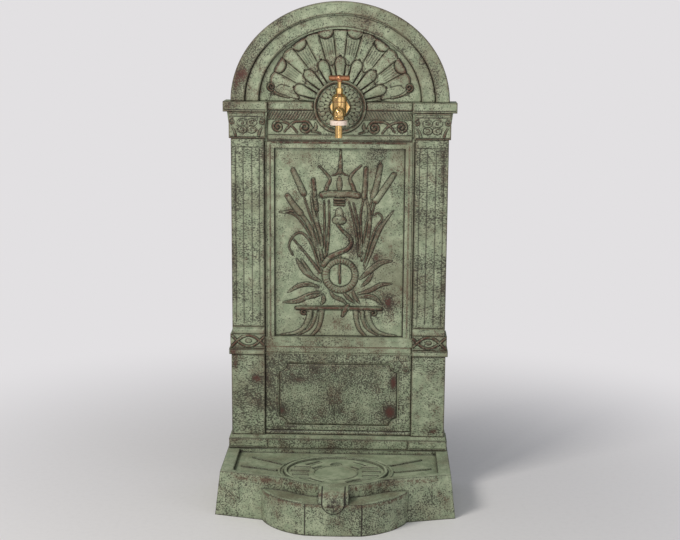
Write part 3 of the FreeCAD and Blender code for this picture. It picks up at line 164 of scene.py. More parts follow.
class Relief:
    """A height field in millimetres, drawn with strokes, leaves, domes and grooves."""

    def __init__(self, x: np.ndarray, z: np.ndarray) -> None:
        """Starts flat.

        Args:
            x: Each grid point's x.
            z: Each grid point's z.
        """
        self.x = x
        self.z = z
        self.h = np.zeros_like(x)

    def near(self, line: np.ndarray, reach: float) -> tuple[np.ndarray, np.ndarray, np.ndarray]:
        """Grid points near a line, with their distance from it and how far along it they are.

        Args:
            line: The line's points.
            reach: How far from the line to look.

        Returns:
            A mask of the points, their distances, and their share of the line's length.
        """
        low, high = line.min(0) - reach, line.max(0) + reach
        mask = (self.x >= low[0]) & (self.x <= high[0]) & (self.z >= low[1]) & (self.z <= high[1])
        px, pz = self.x[mask], self.z[mask]
        best = np.full(px.shape, 1e9)
        along = np.zeros(px.shape)
        lengths = np.hypot(*np.diff(line, axis=0).T)
        ends = np.concatenate([[0.0], np.cumsum(lengths)]) / max(lengths.sum(), 1e-9)
        for k, (a, b) in enumerate(zip(line[:-1], line[1:])):
            run = b - a
            t = np.clip(((px - a[0]) * run[0] + (pz - a[1]) * run[1]) / max(run @ run, 1e-9), 0, 1)
            away = np.hypot(px - a[0] - t * run[0], pz - a[1] - t * run[1])
            closer = away < best
            best[closer] = away[closer]
            along[closer] = (ends[k] + t * (ends[k + 1] - ends[k]))[closer]
        return mask, best, along

    def stroke(self, points: Sequence[Point], width: float, height: float, ends: Point = (1.0, 1.0),
               swell: float = 0.0, outline: float = 0.0) -> "Relief":
        """Raises a round-backed line.

        Args:
            points: The places it passes through.
            width: Its full width in the middle.
            height: Its height in the middle.
            ends: Its width at the start and the end, as shares of the width.
            swell: 1 makes it fat in the middle and thin at both ends, like a leaf.
            outline: The depth of the thin groove each side.

        Returns:
            The relief itself.
        """
        line = smooth_curve(points) if len(points) < 40 else np.asarray(points)
        mask, away, along = self.near(line, width + 3)
        share = ends[0] + (ends[1] - ends[0]) * along
        share = share * (1 - swell + swell * np.sin(np.pi * np.clip(along * 0.94 + 0.03, 0, 1)) ** 0.8)
        half = np.maximum(width / 2 * share, 0.25)
        raised = height * np.clip(share, 0.35, 1.2) * rounded(away / half)
        h = self.h[mask]
        if outline:
            h = h - outline * bump(away - half - 0.7, 0.9)
        self.h[mask] = np.where(away < half, np.maximum(h, 0) * 0.25 + raised, h)
        return self

    def cut(self, away: np.ndarray, width: float, depth: float | np.ndarray) -> None:
        """Cuts a soft line where a distance is zero."""
        self.h -= depth * bump(away, width)

    def groove(self, points: Sequence[Point], width: float, depth: float) -> "Relief":
        """Cuts a soft line.

        Args:
            points: The places it passes through.
            width: The groove's width.
            depth: The groove's depth.

        Returns:
            The relief itself.
        """
        line = smooth_curve(points) if 2 < len(points) < 40 else np.asarray(points, float)
        mask, away, _ = self.near(line, width * 2)
        self.h[mask] -= depth * bump(away, width * 0.55)
        return self

    def leaf(self, points: Sequence[Point], width: float, height: float, outline: float = 1.4) -> "Relief":
        """Raises a pointed leaf with a sunk middle vein.

        Args:
            points: The vein, from the stem to the tip.
            width: The leaf's full width.
            height: Its height.
            outline: The depth of the groove round it.

        Returns:
            The relief itself.
        """
        self.stroke(points, width, height, swell=1.0, outline=outline)
        return self.groove(points, 1.3, height * 0.45)

    def dome(self, centre: Point, size: Point, height: float, turn: float = 0.0,
             outline: float = 0.0) -> "Relief":
        """Raises an oval dome.

        Args:
            centre: Its middle.
            size: Its two half widths.
            height: Its height.
            turn: How far it is turned, in degrees.
            outline: The depth of the groove round it.

        Returns:
            The relief itself.
        """
        c, s = math.cos(math.radians(turn)), math.sin(math.radians(turn))
        dx, dz = self.x - centre[0], self.z - centre[1]
        r = np.hypot((dx * c + dz * s) / size[0], (dz * c - dx * s) / size[1])
        if outline:
            self.cut((r - 1) * min(size) / 0.9 - 0.6, 1.0, outline)
        self.h = np.where(r < 1, np.maximum(self.h, height * rounded(r)), self.h)
        return self


@dataclass(frozen=True)
class Stain:
    """A patch where the paint is worn or stained: its middle, its half sizes and its strength."""

    x: float
    z: float
    wide: float
    high: float
    strength: float = 1.0


STAINS: tuple[Stain, ...] = tuple(Stain(*sizes) for sizes in (
    (-200, 893, 16, 22, 1.0), (-215, 868, 10, 25, 0.7), (-178, 940, 22, 25, 0.5),
    (-130, 1003, 30, 14, 0.45), (55, 1003, 40, 10, 0.5), (196, 880, 12, 30, 0.6), (168, 938, 14, 22, 0.45),
    (-230, 828, 14, 12, 0.7), (92, 826, 36, 8, 0.5), (-175, 247, 16, 12, 1.0), (-168, 190, 8, 14, 0.6),
    (-220, 280, 9, 20, 0.8), (118, 240, 9, 20, 1.1), (112, 175, 14, 18, 1.2), (-85, 245, 26, 10, 0.7),
    (205, 135, 16, 9, 0.9), (200, 262, 12, 16, 0.5), (105, 415, 10, 18, 1.0), (80, 510, 10, 16, 0.9),
    (30, 535, 14, 30, 0.6), (90, 735, 40, 12, 0.55), (-120, 757, 20, 8, 0.6), (112, 752, 22, 9, 0.6),
    (-120, 175, 8, 10, 0.9), (-215, 640, 8, 40, 0.5), (215, 700, 8, 60, 0.6), (-222, 500, 8, 60, 0.6),
    (222, 450, 8, 60, 0.5), (-130, 132, 20, 8, 0.6), (110, 133, 18, 8, 0.6), (-150, 900, 10, 10, 0.4),
    (-222, 110, 14, 8, 0.6), (160, 335, 10, 10, 0.4), (-226, 308, 12, 10, 0.9), (222, 322, 10, 12, 0.5),
    (-130, 470, 8, 60, 0.35),
))


def stain_at(x: np.ndarray, z: np.ndarray) -> np.ndarray:
    """How stained each point of the panel is: the sum of soft oval patches."""
    total = np.zeros_like(x)
    for s in STAINS:
        total += s.strength * np.exp(-((x - s.x) / s.wide) ** 2 - ((z - s.z) / s.high) ** 2)
    return np.clip(total, 0, 1.2)


# ---------------------------------------------------------------- meshes
class Sheet:
    """A surface made from a grid of points, with values stored at its vertices."""

    def __init__(self, name: str, grid: np.ndarray, body: str = BODY) -> None:
        """Keeps the grid.

        Args:
            name: The piece's name.
            grid: Rows by columns by x, y and z, in millimetres.
            body: The body that the piece moves with.
        """
        self.name = name
        self.grid = grid
        self.body = body
        self.values: dict[str, np.ndarray] = {}

    def quads(self, wrap_rows: bool = False, wrap_columns: bool = False) -> np.ndarray:
        """The grid's faces, each as four vertex numbers, wound so that columns turn into rows.

        Args:
            wrap_rows: Whether the last row joins the first.
            wrap_columns: Whether the last column joins the first.

        Returns:
            An array of faces.
        """
        rows, columns = self.grid.shape[:2]
        number = np.arange(rows * columns).reshape(rows, columns)
        if wrap_rows:
            number = np.vstack([number, number[:1]])
        if wrap_columns:
            number = np.hstack([number, number[:, :1]])
        corners = (number[:-1, :-1], number[:-1, 1:], number[1:, 1:], number[1:, :-1])
        return np.stack([c.ravel() for c in corners], -1)

    def border(self) -> np.ndarray:
        """The vertex numbers round the grid's edge, anticlockwise from the first corner."""
        rows, columns = self.grid.shape[:2]
        number = np.arange(rows * columns).reshape(rows, columns)
        return np.concatenate([number[0, :-1], number[:-1, -1], number[-1, :0:-1], number[:0:-1, 0]])

    def build(self, points: np.ndarray, faces: list, material: bpy.types.Material,
              smooth: float) -> bpy.types.Object:
        """Makes the object.

        Args:
            points: Every vertex, in millimetres.
            faces: Every face.
            material: The piece's material.
            smooth: The angle above which an edge stays sharp, in degrees.

        Returns:
            The new object, riding on the sheet's body.
        """
        mesh = bpy.data.meshes.new(self.name)
        mesh.from_pydata((points * MM).tolist(), [], faces)
        mesh.update()
        for key, values in self.values.items():
            attribute = mesh.attributes.new(key, "FLOAT", "POINT")
            full = np.zeros(len(points), np.float32)
            full[: values.size] = values.ravel()
            attribute.data.foreach_set("value", full)
        mesh.shade_smooth()
        mesh.set_sharp_from_angle(angle=math.radians(smooth))
        mesh.materials.append(material)
        obj = bpy.data.objects.new(self.name, mesh)
        bpy.context.scene.collection.objects.link(obj)
        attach(obj, self.body)
        LOG.info("%s: %d vertices", self.name, len(points))
        return obj

    def plate(self, back: float, material: bpy.types.Material, smooth: float = 50.0) -> bpy.types.Object:
        """Closes the sheet with side walls and a flat back.

        Args:
            back: The back's y.
            material: The piece's material.
            smooth: The angle above which an edge stays sharp.

        Returns:
            The new object.
        """
        points = self.grid.reshape(-1, 3)
        ring = self.border()
        rear = points[ring].copy()
        rear[:, 1] = back
        below = len(points) + np.arange(len(ring))
        walls = np.stack([ring, below, np.roll(below, -1), np.roll(ring, -1)], -1)
        faces = self.quads().tolist() + walls.tolist() + [below[::-1].tolist()]
        return self.build(np.vstack([points, rear]), faces, material, smooth)

    def shell(self, material: bpy.types.Material, wrap_rows: bool, smooth: float = 40.0) -> bpy.types.Object:
        """Closes the sheet round its columns, with flat caps or, for a ring, round its rows too.

        Args:
            material: The piece's material.
            wrap_rows: Whether the last row joins the first.
            smooth: The angle above which an edge stays sharp.

        Returns:
            The new object.
        """
        points = self.grid.reshape(-1, 3)
        rows, columns = self.grid.shape[:2]
        faces = self.quads(wrap_rows, True).tolist()
        if not wrap_rows:
            faces.append(list(range(columns - 1, -1, -1)))
            faces.append(list(range((rows - 1) * columns, rows * columns)))
        return self.build(points, faces, material, smooth)


def hollow_shade_and_wear(height: np.ndarray, cell: float) -> dict[str, np.ndarray]:
    """Where dirt and dark iron stay in the hollows, deepened with painted shade, and where the paint is
    rubbed: each height against its neighbourhood's.

    Args:
        height: The relief's heights.
        cell: The grid's spacing in millimetres.

    Returns:
        The "hollow" values, painted shade over the dark iron in the recesses, and the "rub" values, from 0 to
        1.
    """
    near = blur(height, (1.6 / cell, 1.6 / cell))
    wide = blur(height, (4.5 / cell, 4.5 / cell))
    # hollow: the recesses and a wide band round raised forms go dark, partly dark iron and dirt, partly
    # painted shade.
    hollow = np.clip((near - height - 0.08) / 0.38, 0, 1) + np.clip((wide - height - 0.5) / 1.8, 0, 1) * 0.4
    rub = np.clip((height - wide - 0.3) / 1.8, 0, 1) * 0.7 + np.clip((height - near - 0.1) / 0.5, 0, 1) * 0.6
    return {"hollow": np.clip(hollow, 0, 1), "rub": np.clip(rub, 0, 1)}


def wander(x: np.ndarray, z: np.ndarray) -> np.ndarray:
    """The casting's slight unevenness: a sum of slow waves, in millimetres."""
    return (0.16 * np.sin(x / 9.1 + 1.7 * np.sin(z / 23.0)) + 0.14 * np.sin(z / 7.3 + 1.3 * np.sin(x / 17.0))
            + 0.10 * np.sin((x + z) / 5.2 + 2 * np.sin(x / 31.0)) * np.sin(z / 11.0))


# ---------------------------------------------------------------- finishes
class Wire:
    """A shader value. Sums, products and powers of wires add the nodes that work them out."""

    def __init__(self, shader: "Shader", socket: bpy.types.NodeSocket) -> None:
        """Keeps the socket and its shader."""
        self.shader = shader
        self.socket = socket

    def __add__(self, other: object) -> "Wire":
        """The sum."""
        return self.shader.math("ADD", self, other)

    def __sub__(self, other: object) -> "Wire":
        """The difference."""
        return self.shader.math("SUBTRACT", self, other)

    def __rsub__(self, other: object) -> "Wire":
        """A number less the value."""
        return self.shader.math("SUBTRACT", other, self)

    def __mul__(self, other: object) -> "Wire":
        """The product."""
        return self.shader.math("MULTIPLY", self, other)

    def __truediv__(self, other: object) -> "Wire":
        """The quotient."""
        return self.shader.math("DIVIDE", self, other)

    def __pow__(self, other: object) -> "Wire":
        """The power."""
        return self.shader.math("POWER", self, other)

    def __abs__(self) -> "Wire":
        """The value without its sign."""
        return self.shader.math("ABSOLUTE", self)


class Shader:
    """A short way to add nodes to a shader tree: a wire or socket given as a value is linked."""

    def __init__(self, tree: bpy.types.NodeTree) -> None:
        """Keeps the tree."""
        self.tree = tree

    def add(self, kind: str, values: dict | None = None, **settings: object) -> bpy.types.Node:
        """Adds one node.

        Args:
            kind: The node's type, without its "ShaderNode" start.
            values: Socket names or numbers, each with a constant, a wire or a socket.
            settings: The node's own settings.

        Returns:
            The new node.
        """
        node = self.tree.nodes.new("ShaderNode" + kind)
        for key, value in settings.items():
            setattr(node, key, value)
        for key, value in (values or {}).items():
            value = value.socket if isinstance(value, Wire) else value
            if isinstance(value, bpy.types.NodeSocket):
                self.tree.links.new(value, node.inputs[key])
            else:
                node.inputs[key].default_value = value
        return node

    def value(self, kind: str, output: str | int, values: dict | None = None, **settings: object) -> Wire:
        """Adds one node and gives the named output."""
        return Wire(self, self.add(kind, values, **settings).outputs[output])

    def noise(self, vector: Wire, scale: object, detail: float = 2.0, rough: float = 0.55,
              distortion: float = 0.0) -> Wire:
        """A noise value."""
        return self.value("TexNoise", "Fac", {"Vector": vector, "Scale": scale, "Detail": detail,
                                              "Roughness": rough, "Distortion": distortion})

    def ramp(self, value: Wire, low: object, high: object) -> Wire:
        """A smooth ramp of a value between two bounds, from 0 to 1."""
        return self.value("MapRange", "Result", {"Value": value, "From Min": low, "From Max": high},
                          interpolation_type="SMOOTHSTEP")

    def math(self, operation: str, a: object, b: object = 0.0, clamp: bool = False) -> Wire:
        """A sum, product or other combination of two values."""
        return self.value("Math", 0, {0: a, 1: b}, operation=operation, use_clamp=clamp)

    def mix(self, share: object, a: object, b: object) -> Wire:
        """Mixes two colours."""
        return self.value("Mix", 2, {0: share, 6: a, 7: b}, data_type="RGBA", blend_type="MIX")

    def stretched(self, vector: Wire, scale: tuple[float, float, float]) -> Wire:
        """The coordinates, scaled differently each way."""
        return self.value("Mapping", "Vector", {"Vector": vector, "Scale": scale})


def effect(name: str, inputs: dict[str, tuple[str, object]], outputs: dict[str, str],
           body: Callable[[Shader, dict], dict]) -> bpy.types.NodeTree:
    """Makes a shader node group.

    Args:
        name: The group's name.
        inputs: Each input's socket type and its default, or None.
        outputs: Each output's socket type.
        body: Fills the group: it is given the shader and the input wires, and returns the outputs.

    Returns:
        The group.
    """
    tree = bpy.data.node_groups.new(name, "ShaderNodeTree")
    for key, (kind, default) in inputs.items():
        socket = tree.interface.new_socket(key, in_out="INPUT", socket_type="NodeSocket" + kind)
        if default is not None:
            socket.default_value = default
    for key, kind in outputs.items():
        tree.interface.new_socket(key, in_out="OUTPUT", socket_type="NodeSocket" + kind)
    entry = tree.nodes.new("NodeGroupInput")
    leave = tree.nodes.new("NodeGroupOutput")
    s = Shader(tree)
    for key, wire in body(s, {key: Wire(s, entry.outputs[key]) for key in inputs}).items():
        tree.links.new(wire.socket, leave.inputs[key])
    return tree


class Effects:
    """The node groups that several finishes share."""

    def __init__(self) -> None:
        """Makes the groups."""
        self.grit = effect(
            "grit", {"Vector": ("Vector", None), "Scale": ("Float", 260.0), "Amount": ("Float", 0.5)},
            {"Mask": "Float"}, self.fill_grit)
        self.edges = effect("edges", {"Radius": ("Float", 0.0015)}, {"Mask": "Float", "Normal": "Vector"},
                            self.fill_edges)
        self.crevices = effect("crevices", {"Distance": ("Float", 0.006)}, {"Mask": "Float"},
                               self.fill_crevices)

    @staticmethod
    def fill_grit(s: Shader, given: dict) -> dict:
        """Dark pits between brush marks: fine noise cut at a level that itself wanders."""
        fine = s.noise(given["Vector"], given["Scale"], 3.0, 0.62, 0.4)
        level = given["Amount"] * 0.2 + s.noise(given["Vector"], 16.0, 3.0, 0.6) * 0.38
        return {"Mask": s.math("SUBTRACT", 1.0, s.ramp(fine, level + 0.03, level + 0.13), clamp=True)}

    @staticmethod
    def fill_edges(s: Shader, given: dict) -> dict:
        """Where the surface turns sharply: how far the rounded normal leaves the true one."""
        soft = s.value("Bevel", "Normal", {"Radius": given["Radius"]}, samples=4)
        along = s.value("VectorMath", "Value", {0: soft, 1: s.value("NewGeometry", "Normal")},
                        operation="DOT_PRODUCT")
        return {"Mask": s.ramp(1.0 - along, 0.01, 0.16), "Normal": soft}

    @staticmethod
    def fill_crevices(s: Shader, given: dict) -> dict:
        """Where neighbouring faces shut the surface in: an ambient occlusion mask that paints shade into the
        colour.
        """
        open_share = s.value("AmbientOcclusion", "AO", {"Distance": given["Distance"]}, samples=6)
        return {"Mask": s.ramp(1.0 - open_share, 0.22, 0.62)}


@dataclass(frozen=True)
class Finish:
    """A material that a node tree paints."""

    name: str
    effects: Effects

    def material(self) -> bpy.types.Material:
        """Builds the material."""
        material = bpy.data.materials.new(self.name)
        material.use_nodes = True
        material.node_tree.nodes.clear()
        s = Shader(material.node_tree)
        shade = s.add("BsdfPrincipled", self.paint(s, s.value("TexCoord", "Object")))
        s.add("OutputMaterial", {0: shade.outputs[0]})
        return material

    def paint(self, s: Shader, place: Wire) -> dict:
        """Fills the tree.

        Args:
            s: The shader.
            place: The object coordinates.

        Returns:
            The surface's inputs by name.
        """
        raise NotImplementedError

    def edge(self, s: Shader, radius: float) -> tuple[Wire, Wire]:
        """Where the surface turns sharply, and its rounded normal."""
        node = s.add("Group", {"Radius": radius}, node_tree=self.effects.edges)
        return Wire(s, node.outputs["Mask"]), Wire(s, node.outputs["Normal"])

    def crevice(self, s: Shader, reach: float) -> Wire:
        """Where the surface is shut in: the ambient occlusion mask for painted shade."""
        return s.value("Group", "Mask", {"Distance": reach}, node_tree=self.effects.crevices)

    @staticmethod
    def bump(s: Shader, height: Wire, strength: float, distance: float, normal: Wire) -> Wire:
        """A normal roughened by a height."""
        return s.value("Bump", 0, {"Height": height, "Strength": strength, "Distance": distance,
                                   "Normal": normal})


@dataclass(frozen=True)
class IronFinish(Finish):
    """Green paint dry-brushed over dark iron, rubbed brown on the high places."""

    grit: float = 0.45
    grit_scale: float = 260.0
    rub: float = 0.75
    wash: float = 0.55
    edge_radius: float = 0.0018
    # dark_edges: how much sharp edges are darkened; crevice_reach: how far the painted crevice shade reaches.
    dark_edges: float = 0.0
    crevice_reach: float = 0.006
    basin_marks: bool = False
    stretch: tuple[float, float, float] = (1.0, 1.0, 1.0)
    pale: tuple = srgb(163, 172, 142)
    green: tuple = srgb(128, 140, 112)
    olive: tuple = srgb(102, 97, 74)
    brown: tuple = srgb(88, 60, 45)
    rust: tuple = srgb(82, 42, 32)
    dark: tuple = srgb(35, 26, 19)

    def paint(self, s: Shader, place: Wire) -> dict:
        """Lays the green, the brown wash, the stains, the worn edges and the pits, then darkens the hollows
        and crevices: dark iron deepened with painted shade.
        """
        hollow, rub, stain = (s.value("Attribute", "Fac", attribute_name=key)
                              for key in ("hollow", "rub", "stain"))
        edge, rounded_normal = self.edge(s, self.edge_radius)
        middle = s.noise(place, 55.0, 4.0, 0.65)
        fine = s.noise(place, 420.0, 3.0, 0.6)
        grit = s.value("Group", "Mask", {"Vector": s.stretched(place, self.stretch), "Scale": self.grit_scale,
                                         "Amount": stain * 0.75 + self.grit}, node_tree=self.effects.grit)
        upward = s.value("SeparateXYZ", "Z", {"Vector": s.value("NewGeometry", "Normal")})
        steep = s.ramp(upward, 0.9, 0.6)

        colour = s.mix(s.ramp(middle, 0.34, 0.68), self.green, self.pale)
        colour = s.mix(s.ramp(s.noise(place, 14.0, 4.0, 0.6), 0.44, 0.7) * 0.6, colour, self.olive)
        colour = s.mix(s.ramp(fine, 0.35, 0.75) * 0.28, colour, self.pale)
        tint = s.mix(s.ramp(s.noise(place, 38.0, 3.0), 0.5, 0.6), self.brown, self.rust)
        wash = s.ramp(s.noise(place, 30.0, 5.0, 0.68), 0.5, 0.66) * s.ramp(fine, 0.4, 0.6)
        colour = s.mix(wash * (steep * 0.75 + 0.25) * self.wash, colour, tint)
        patch = s.math("MULTIPLY", stain, s.ramp(middle, 0.28, 0.62), clamp=True)
        colour = s.mix(patch * 0.75, colour, self.brown)
        flaked = s.ramp(s.noise(place, 110.0, 4.0, 0.7), 0.3, 0.56)
        worn = s.math("MULTIPLY", rub + edge * 1.1, flaked, clamp=True)
        colour = s.mix(worn * self.rub, colour, self.brown)
        colour = s.mix(grit * (steep * 0.52 + 0.3), colour, self.dark)
        colour = s.mix(s.ramp(stain * fine, 0.26, 0.55) * 0.85, colour, self.rust)
        if self.basin_marks:
            colour = self.mark_basin(s, place, colour)
        # Painted shade: the crevices' ambient occlusion, and the hollows, where it lies over the dark iron
        # left in the recesses. The darkened sharp edges paint shade round the grate's slots and give the
        # basin its dark worn edges.
        shut = s.math("MAXIMUM", hollow * 0.94, self.crevice(s, self.crevice_reach) * 0.8)
        if self.dark_edges:
            shut = s.math("MAXIMUM", shut, edge * self.dark_edges)
        return {"Base Color": s.mix(shut, colour, self.dark), "Roughness": middle * 0.22 + 0.5,
                "Normal": self.bump(s, fine * 0.5 - grit * 0.8, 0.35, 0.0006, rounded_normal),
                "Specular IOR Level": 0.42}

    def mark_basin(self, s: Shader, place: Wire, colour: Wire) -> Wire:
        """Paints shade into the drain bowl, the drum's two creases and round and over the spout's shield, and
        brown wear specks on the rims, by place in metres.

        Args:
            s: The shader.
            place: The object coordinates.
            colour: The colour so far.

        Returns:
            The darkened colour.
        """
        x, y, z = (Wire(s, socket) for socket in s.add("SeparateXYZ", {"Vector": place}).outputs)
        # Painted shade in the drain bowl under the grate.
        bowl = s.ramp((x / 0.103) ** 2.0 + ((y + 0.015) / 0.082) ** 2.0, 1.02, 0.98)
        colour = s.mix(bowl * s.ramp(z, 0.0775, 0.0765), colour, self.dark)
        # Painted shade in the drum's two creases.
        crease_shade = s.ramp(abs(abs(x) - 0.0565), 0.0022, 0.0006) * s.ramp(y, -0.138, -0.142)
        crease_shade = crease_shade * s.ramp(z, 0.0665, 0.065)
        rim = s.ramp(z, 0.0915, 0.084) * s.ramp(z, 0.074, 0.083) * s.ramp(y, -0.052, -0.06)
        ledge = s.ramp(z, 0.0675, 0.064) * s.ramp(z, 0.056, 0.063) * s.ramp(y, -0.078, -0.084)
        speck = s.ramp(s.noise(place, 130.0, 4.0, 0.7), 0.4, 0.58)
        colour = s.mix(s.math("MAXIMUM", rim, ledge) * speck * 0.75, colour, self.brown)
        # Painted shade along the outline of the spout's shield.
        below = s.math("MINIMUM", z - 0.070, 0.0)
        reach = s.math("SQRT", x * x + below * below)
        shown = s.ramp(y, -0.122, -0.128) * s.ramp(z, 0.040, 0.046)
        line = s.ramp(abs(reach - 0.0228), 0.0021, 0.0008) * shown
        # Painted shade over the spout's shield and the gap at its top, broken into specks.
        shield_shade = s.ramp((x / 0.013) ** 2.0 + ((z - 0.064) / 0.014) ** 2.0, 1.6, 0.2) * s.ramp(y, -0.145, -0.152)
        colour = s.mix(shield_shade * speck * 0.9, colour, self.dark)
        return s.mix(s.math("MAXIMUM", crease_shade, line) * 0.88, colour, self.dark)


@dataclass(frozen=True)
class MetalFinish(Finish):
    """A bare metal: its bright and tarnished colours and how polished it is."""

    bright: tuple
    tarnish: tuple
    rough: float = 0.2
    scratches: float = 0.1
    metallic: float = 1.0
    bevel: float = 0.0007

    def paint(self, s: Shader, place: Wire) -> dict:
        """Tarnishes it in clouds and in the crevices, where the darkening is partly painted shade, and
        scratches the rest finely.
        """
        hair = s.noise(s.stretched(place, (1.0, 1.0, 6.0)), 900.0, 2.0, 0.6)
        cloud = s.ramp(s.noise(place, 160.0, 4.0, 0.6), 0.45, 0.75)
        tarnish_and_shade = s.math("MAXIMUM", cloud * 0.55, self.crevice(s, 0.003))
        rough = s.math("ADD", hair * self.scratches, tarnish_and_shade * 0.2 + self.rough, clamp=True)
        return {"Base Color": s.mix(tarnish_and_shade, self.bright, self.tarnish), "Roughness": rough,
                "Metallic": self.metallic,
                "Normal": self.bump(s, hair, self.scratches, 0.0001, self.edge(s, self.bevel)[1])}


@dataclass(frozen=True)
class PlainFinish(Finish):
    """Rubber, fibre or moulded plastic: a matt colour with a slight grain and dust."""

    colour: tuple
    dust: tuple
    rough: float = 0.6
    grain: float = 700.0

    def paint(self, s: Shader, place: Wire) -> dict:
        """Dusts the colour in clouds."""
        dusty = s.ramp(s.noise(place, 90.0, 4.0), 0.42, 0.7) * 0.4
        grain = s.noise(place, self.grain, 3.0, 0.6)
        return {"Base Color": s.mix(dusty, self.colour, self.dust), "Roughness": self.rough,
                "Normal": self.bump(s, grain, 0.15, 0.0002, self.edge(s, 0.0005)[1])}


class Finishes:
    """Every material of the fountain, by name."""

    def __init__(self) -> None:
        """Builds the materials once."""
        self.effects = fx = Effects()

        def iron(name: str, grit: float, scale: float, wash: float, **more: object) -> bpy.types.Material:
            return IronFinish(name, fx, grit=grit, grit_scale=scale, wash=wash, **more).material()

        self.iron = iron("iron", 0.7, 360.0, 0.8)
        # The basin's marks paint shade into its drain bowl, the drum's creases and over the spout's shield.
        self.basin = iron("iron_basin", 0.92, 340.0, 0.85, edge_radius=0.003, dark_edges=0.9,
                          crevice_reach=0.011, basin_marks=True)
        # The grate's darkened edges and long crevice reach paint shade round its slots.
        self.grate = iron("iron_grate", 0.5, 330.0, 0.5, edge_radius=0.0036, dark_edges=1.0,
                          crevice_reach=0.014)
        self.stippled = iron("iron_stippled", 1.12, 350.0, 0.9)
        self.brushed = iron("iron_brushed", 0.9, 340.0, 0.8, stretch=(0.7, 1.0, 1.3))
        self.relief = iron("iron_relief", 0.68, 380.0, 0.8, rub=1.0)
        others = (
            MetalFinish("brass", fx, srgb(222, 184, 122), srgb(96, 62, 30), 0.13, 0.08),
            MetalFinish("red_brass", fx, srgb(172, 122, 90), srgb(84, 50, 36), 0.3, 0.15),
            MetalFinish("dull_brass", fx, srgb(242, 222, 204), srgb(176, 138, 116), 0.34, 0.15, metallic=0.4),
            MetalFinish("steel", fx, srgb(196, 198, 200), srgb(110, 108, 104), 0.36, 0.2),
            PlainFinish("rubber", fx, srgb(34, 34, 35), srgb(74, 72, 68), 0.7),
            PlainFinish("fibre", fx, srgb(126, 58, 42), srgb(150, 110, 90), 0.8),
            PlainFinish("plastic", fx, srgb(214, 214, 208), srgb(168, 164, 152), 0.45),
        )
        self.by_slot = {"cast_iron": self.iron} | {finish.name: finish.material() for finish in others}

    def dress(self, node: bpy.types.Object, slot: str) -> None:
        """Gives a node of the frame the finish of its material slot."""
        node.data.materials.clear()
        own = {"basin": self.basin, "drain_grate": self.grate}
        node.data.materials.append(own.get(node.name, self.by_slot[slot]))


# ---------------------------------------------------------------- relief on the panel
def lay(name: str, relief: Relief, edge: np.ndarray, reach: float, face: float, lift: float, cell: float,
        back: float, material: bpy.types.Material) -> bpy.types.Object:
    """Makes the closed plate of a relief.

    The surface is the face, less the lift, less the drawn height. Near the border it falls back to the
    face along a quarter circle.

    Args:
        name: The piece's name.
        relief: The drawn heights.
        edge: Each point's distance from the border.
        reach: The width of the fall at the border.
        face: The casting's face.
        lift: How thick the plate is.
        cell: The grid's spacing.
        back: How far the plate goes behind the face.
        material: Its material.

    Returns:
        The new object.
    """
    fall = 1 - rounded(np.clip(1 - edge / reach, 0, 1))
    height = relief.h + wander(relief.x, relief.z)
    sheet = Sheet(name, np.stack([relief.x, face - (lift + height) * (1 - fall), relief.z], -1))
    # The border's fall counts as a hollow, so the plate's edge is darkened too: painted shade over the dark
    # iron.
    sheet.values = hollow_shade_and_wear(height - fall * 2.0, cell)
    sheet.values["stain"] = stain_at(relief.x, relief.z)
    return sheet.plate(face + back, material)


def plain(relief: Relief) -> None:
    """Leaves a face plain."""


@dataclass
class Patch:
    """A rectangle of relief that lies over one face of the casting."""

    name: str
    left: float
    right: float
    low: float
    high: float
    face: float
    draw: Callable[[Relief], None] = plain
    lift: float = 1.6
    cell: float = 1.2
    round_over: float = 2.2
    back: float = 0.6

    def build(self, material: bpy.types.Material) -> bpy.types.Object:
        """Draws the relief and lays it.

        Args:
            material: The patch's material.

        Returns:
            The new object.
        """
        columns = max(int(round((self.right - self.left) / self.cell)), 4) + 1
        rows = max(int(round((self.high - self.low) / self.cell)), 4) + 1
        x, z = np.meshgrid(np.linspace(self.left, self.right, columns),
                           np.linspace(self.low, self.high, rows))
        relief = Relief(x, z)
        self.draw(relief)
        edge = np.minimum(np.minimum(x - self.left, self.right - x), np.minimum(z - self.low, self.high - z))
        return lay(self.name, relief, edge, self.round_over, self.face, self.lift, self.cell, self.back,
                   material)


def polar(x: np.ndarray, z: np.ndarray, centre: Point) -> tuple[np.ndarray, np.ndarray]:
    """Distance from a centre, and the angle from straight up in degrees, positive to the right."""
    dx, dz = x - centre[0], z - centre[1]
    return np.hypot(dx, dz), np.degrees(np.arctan2(dx, dz))


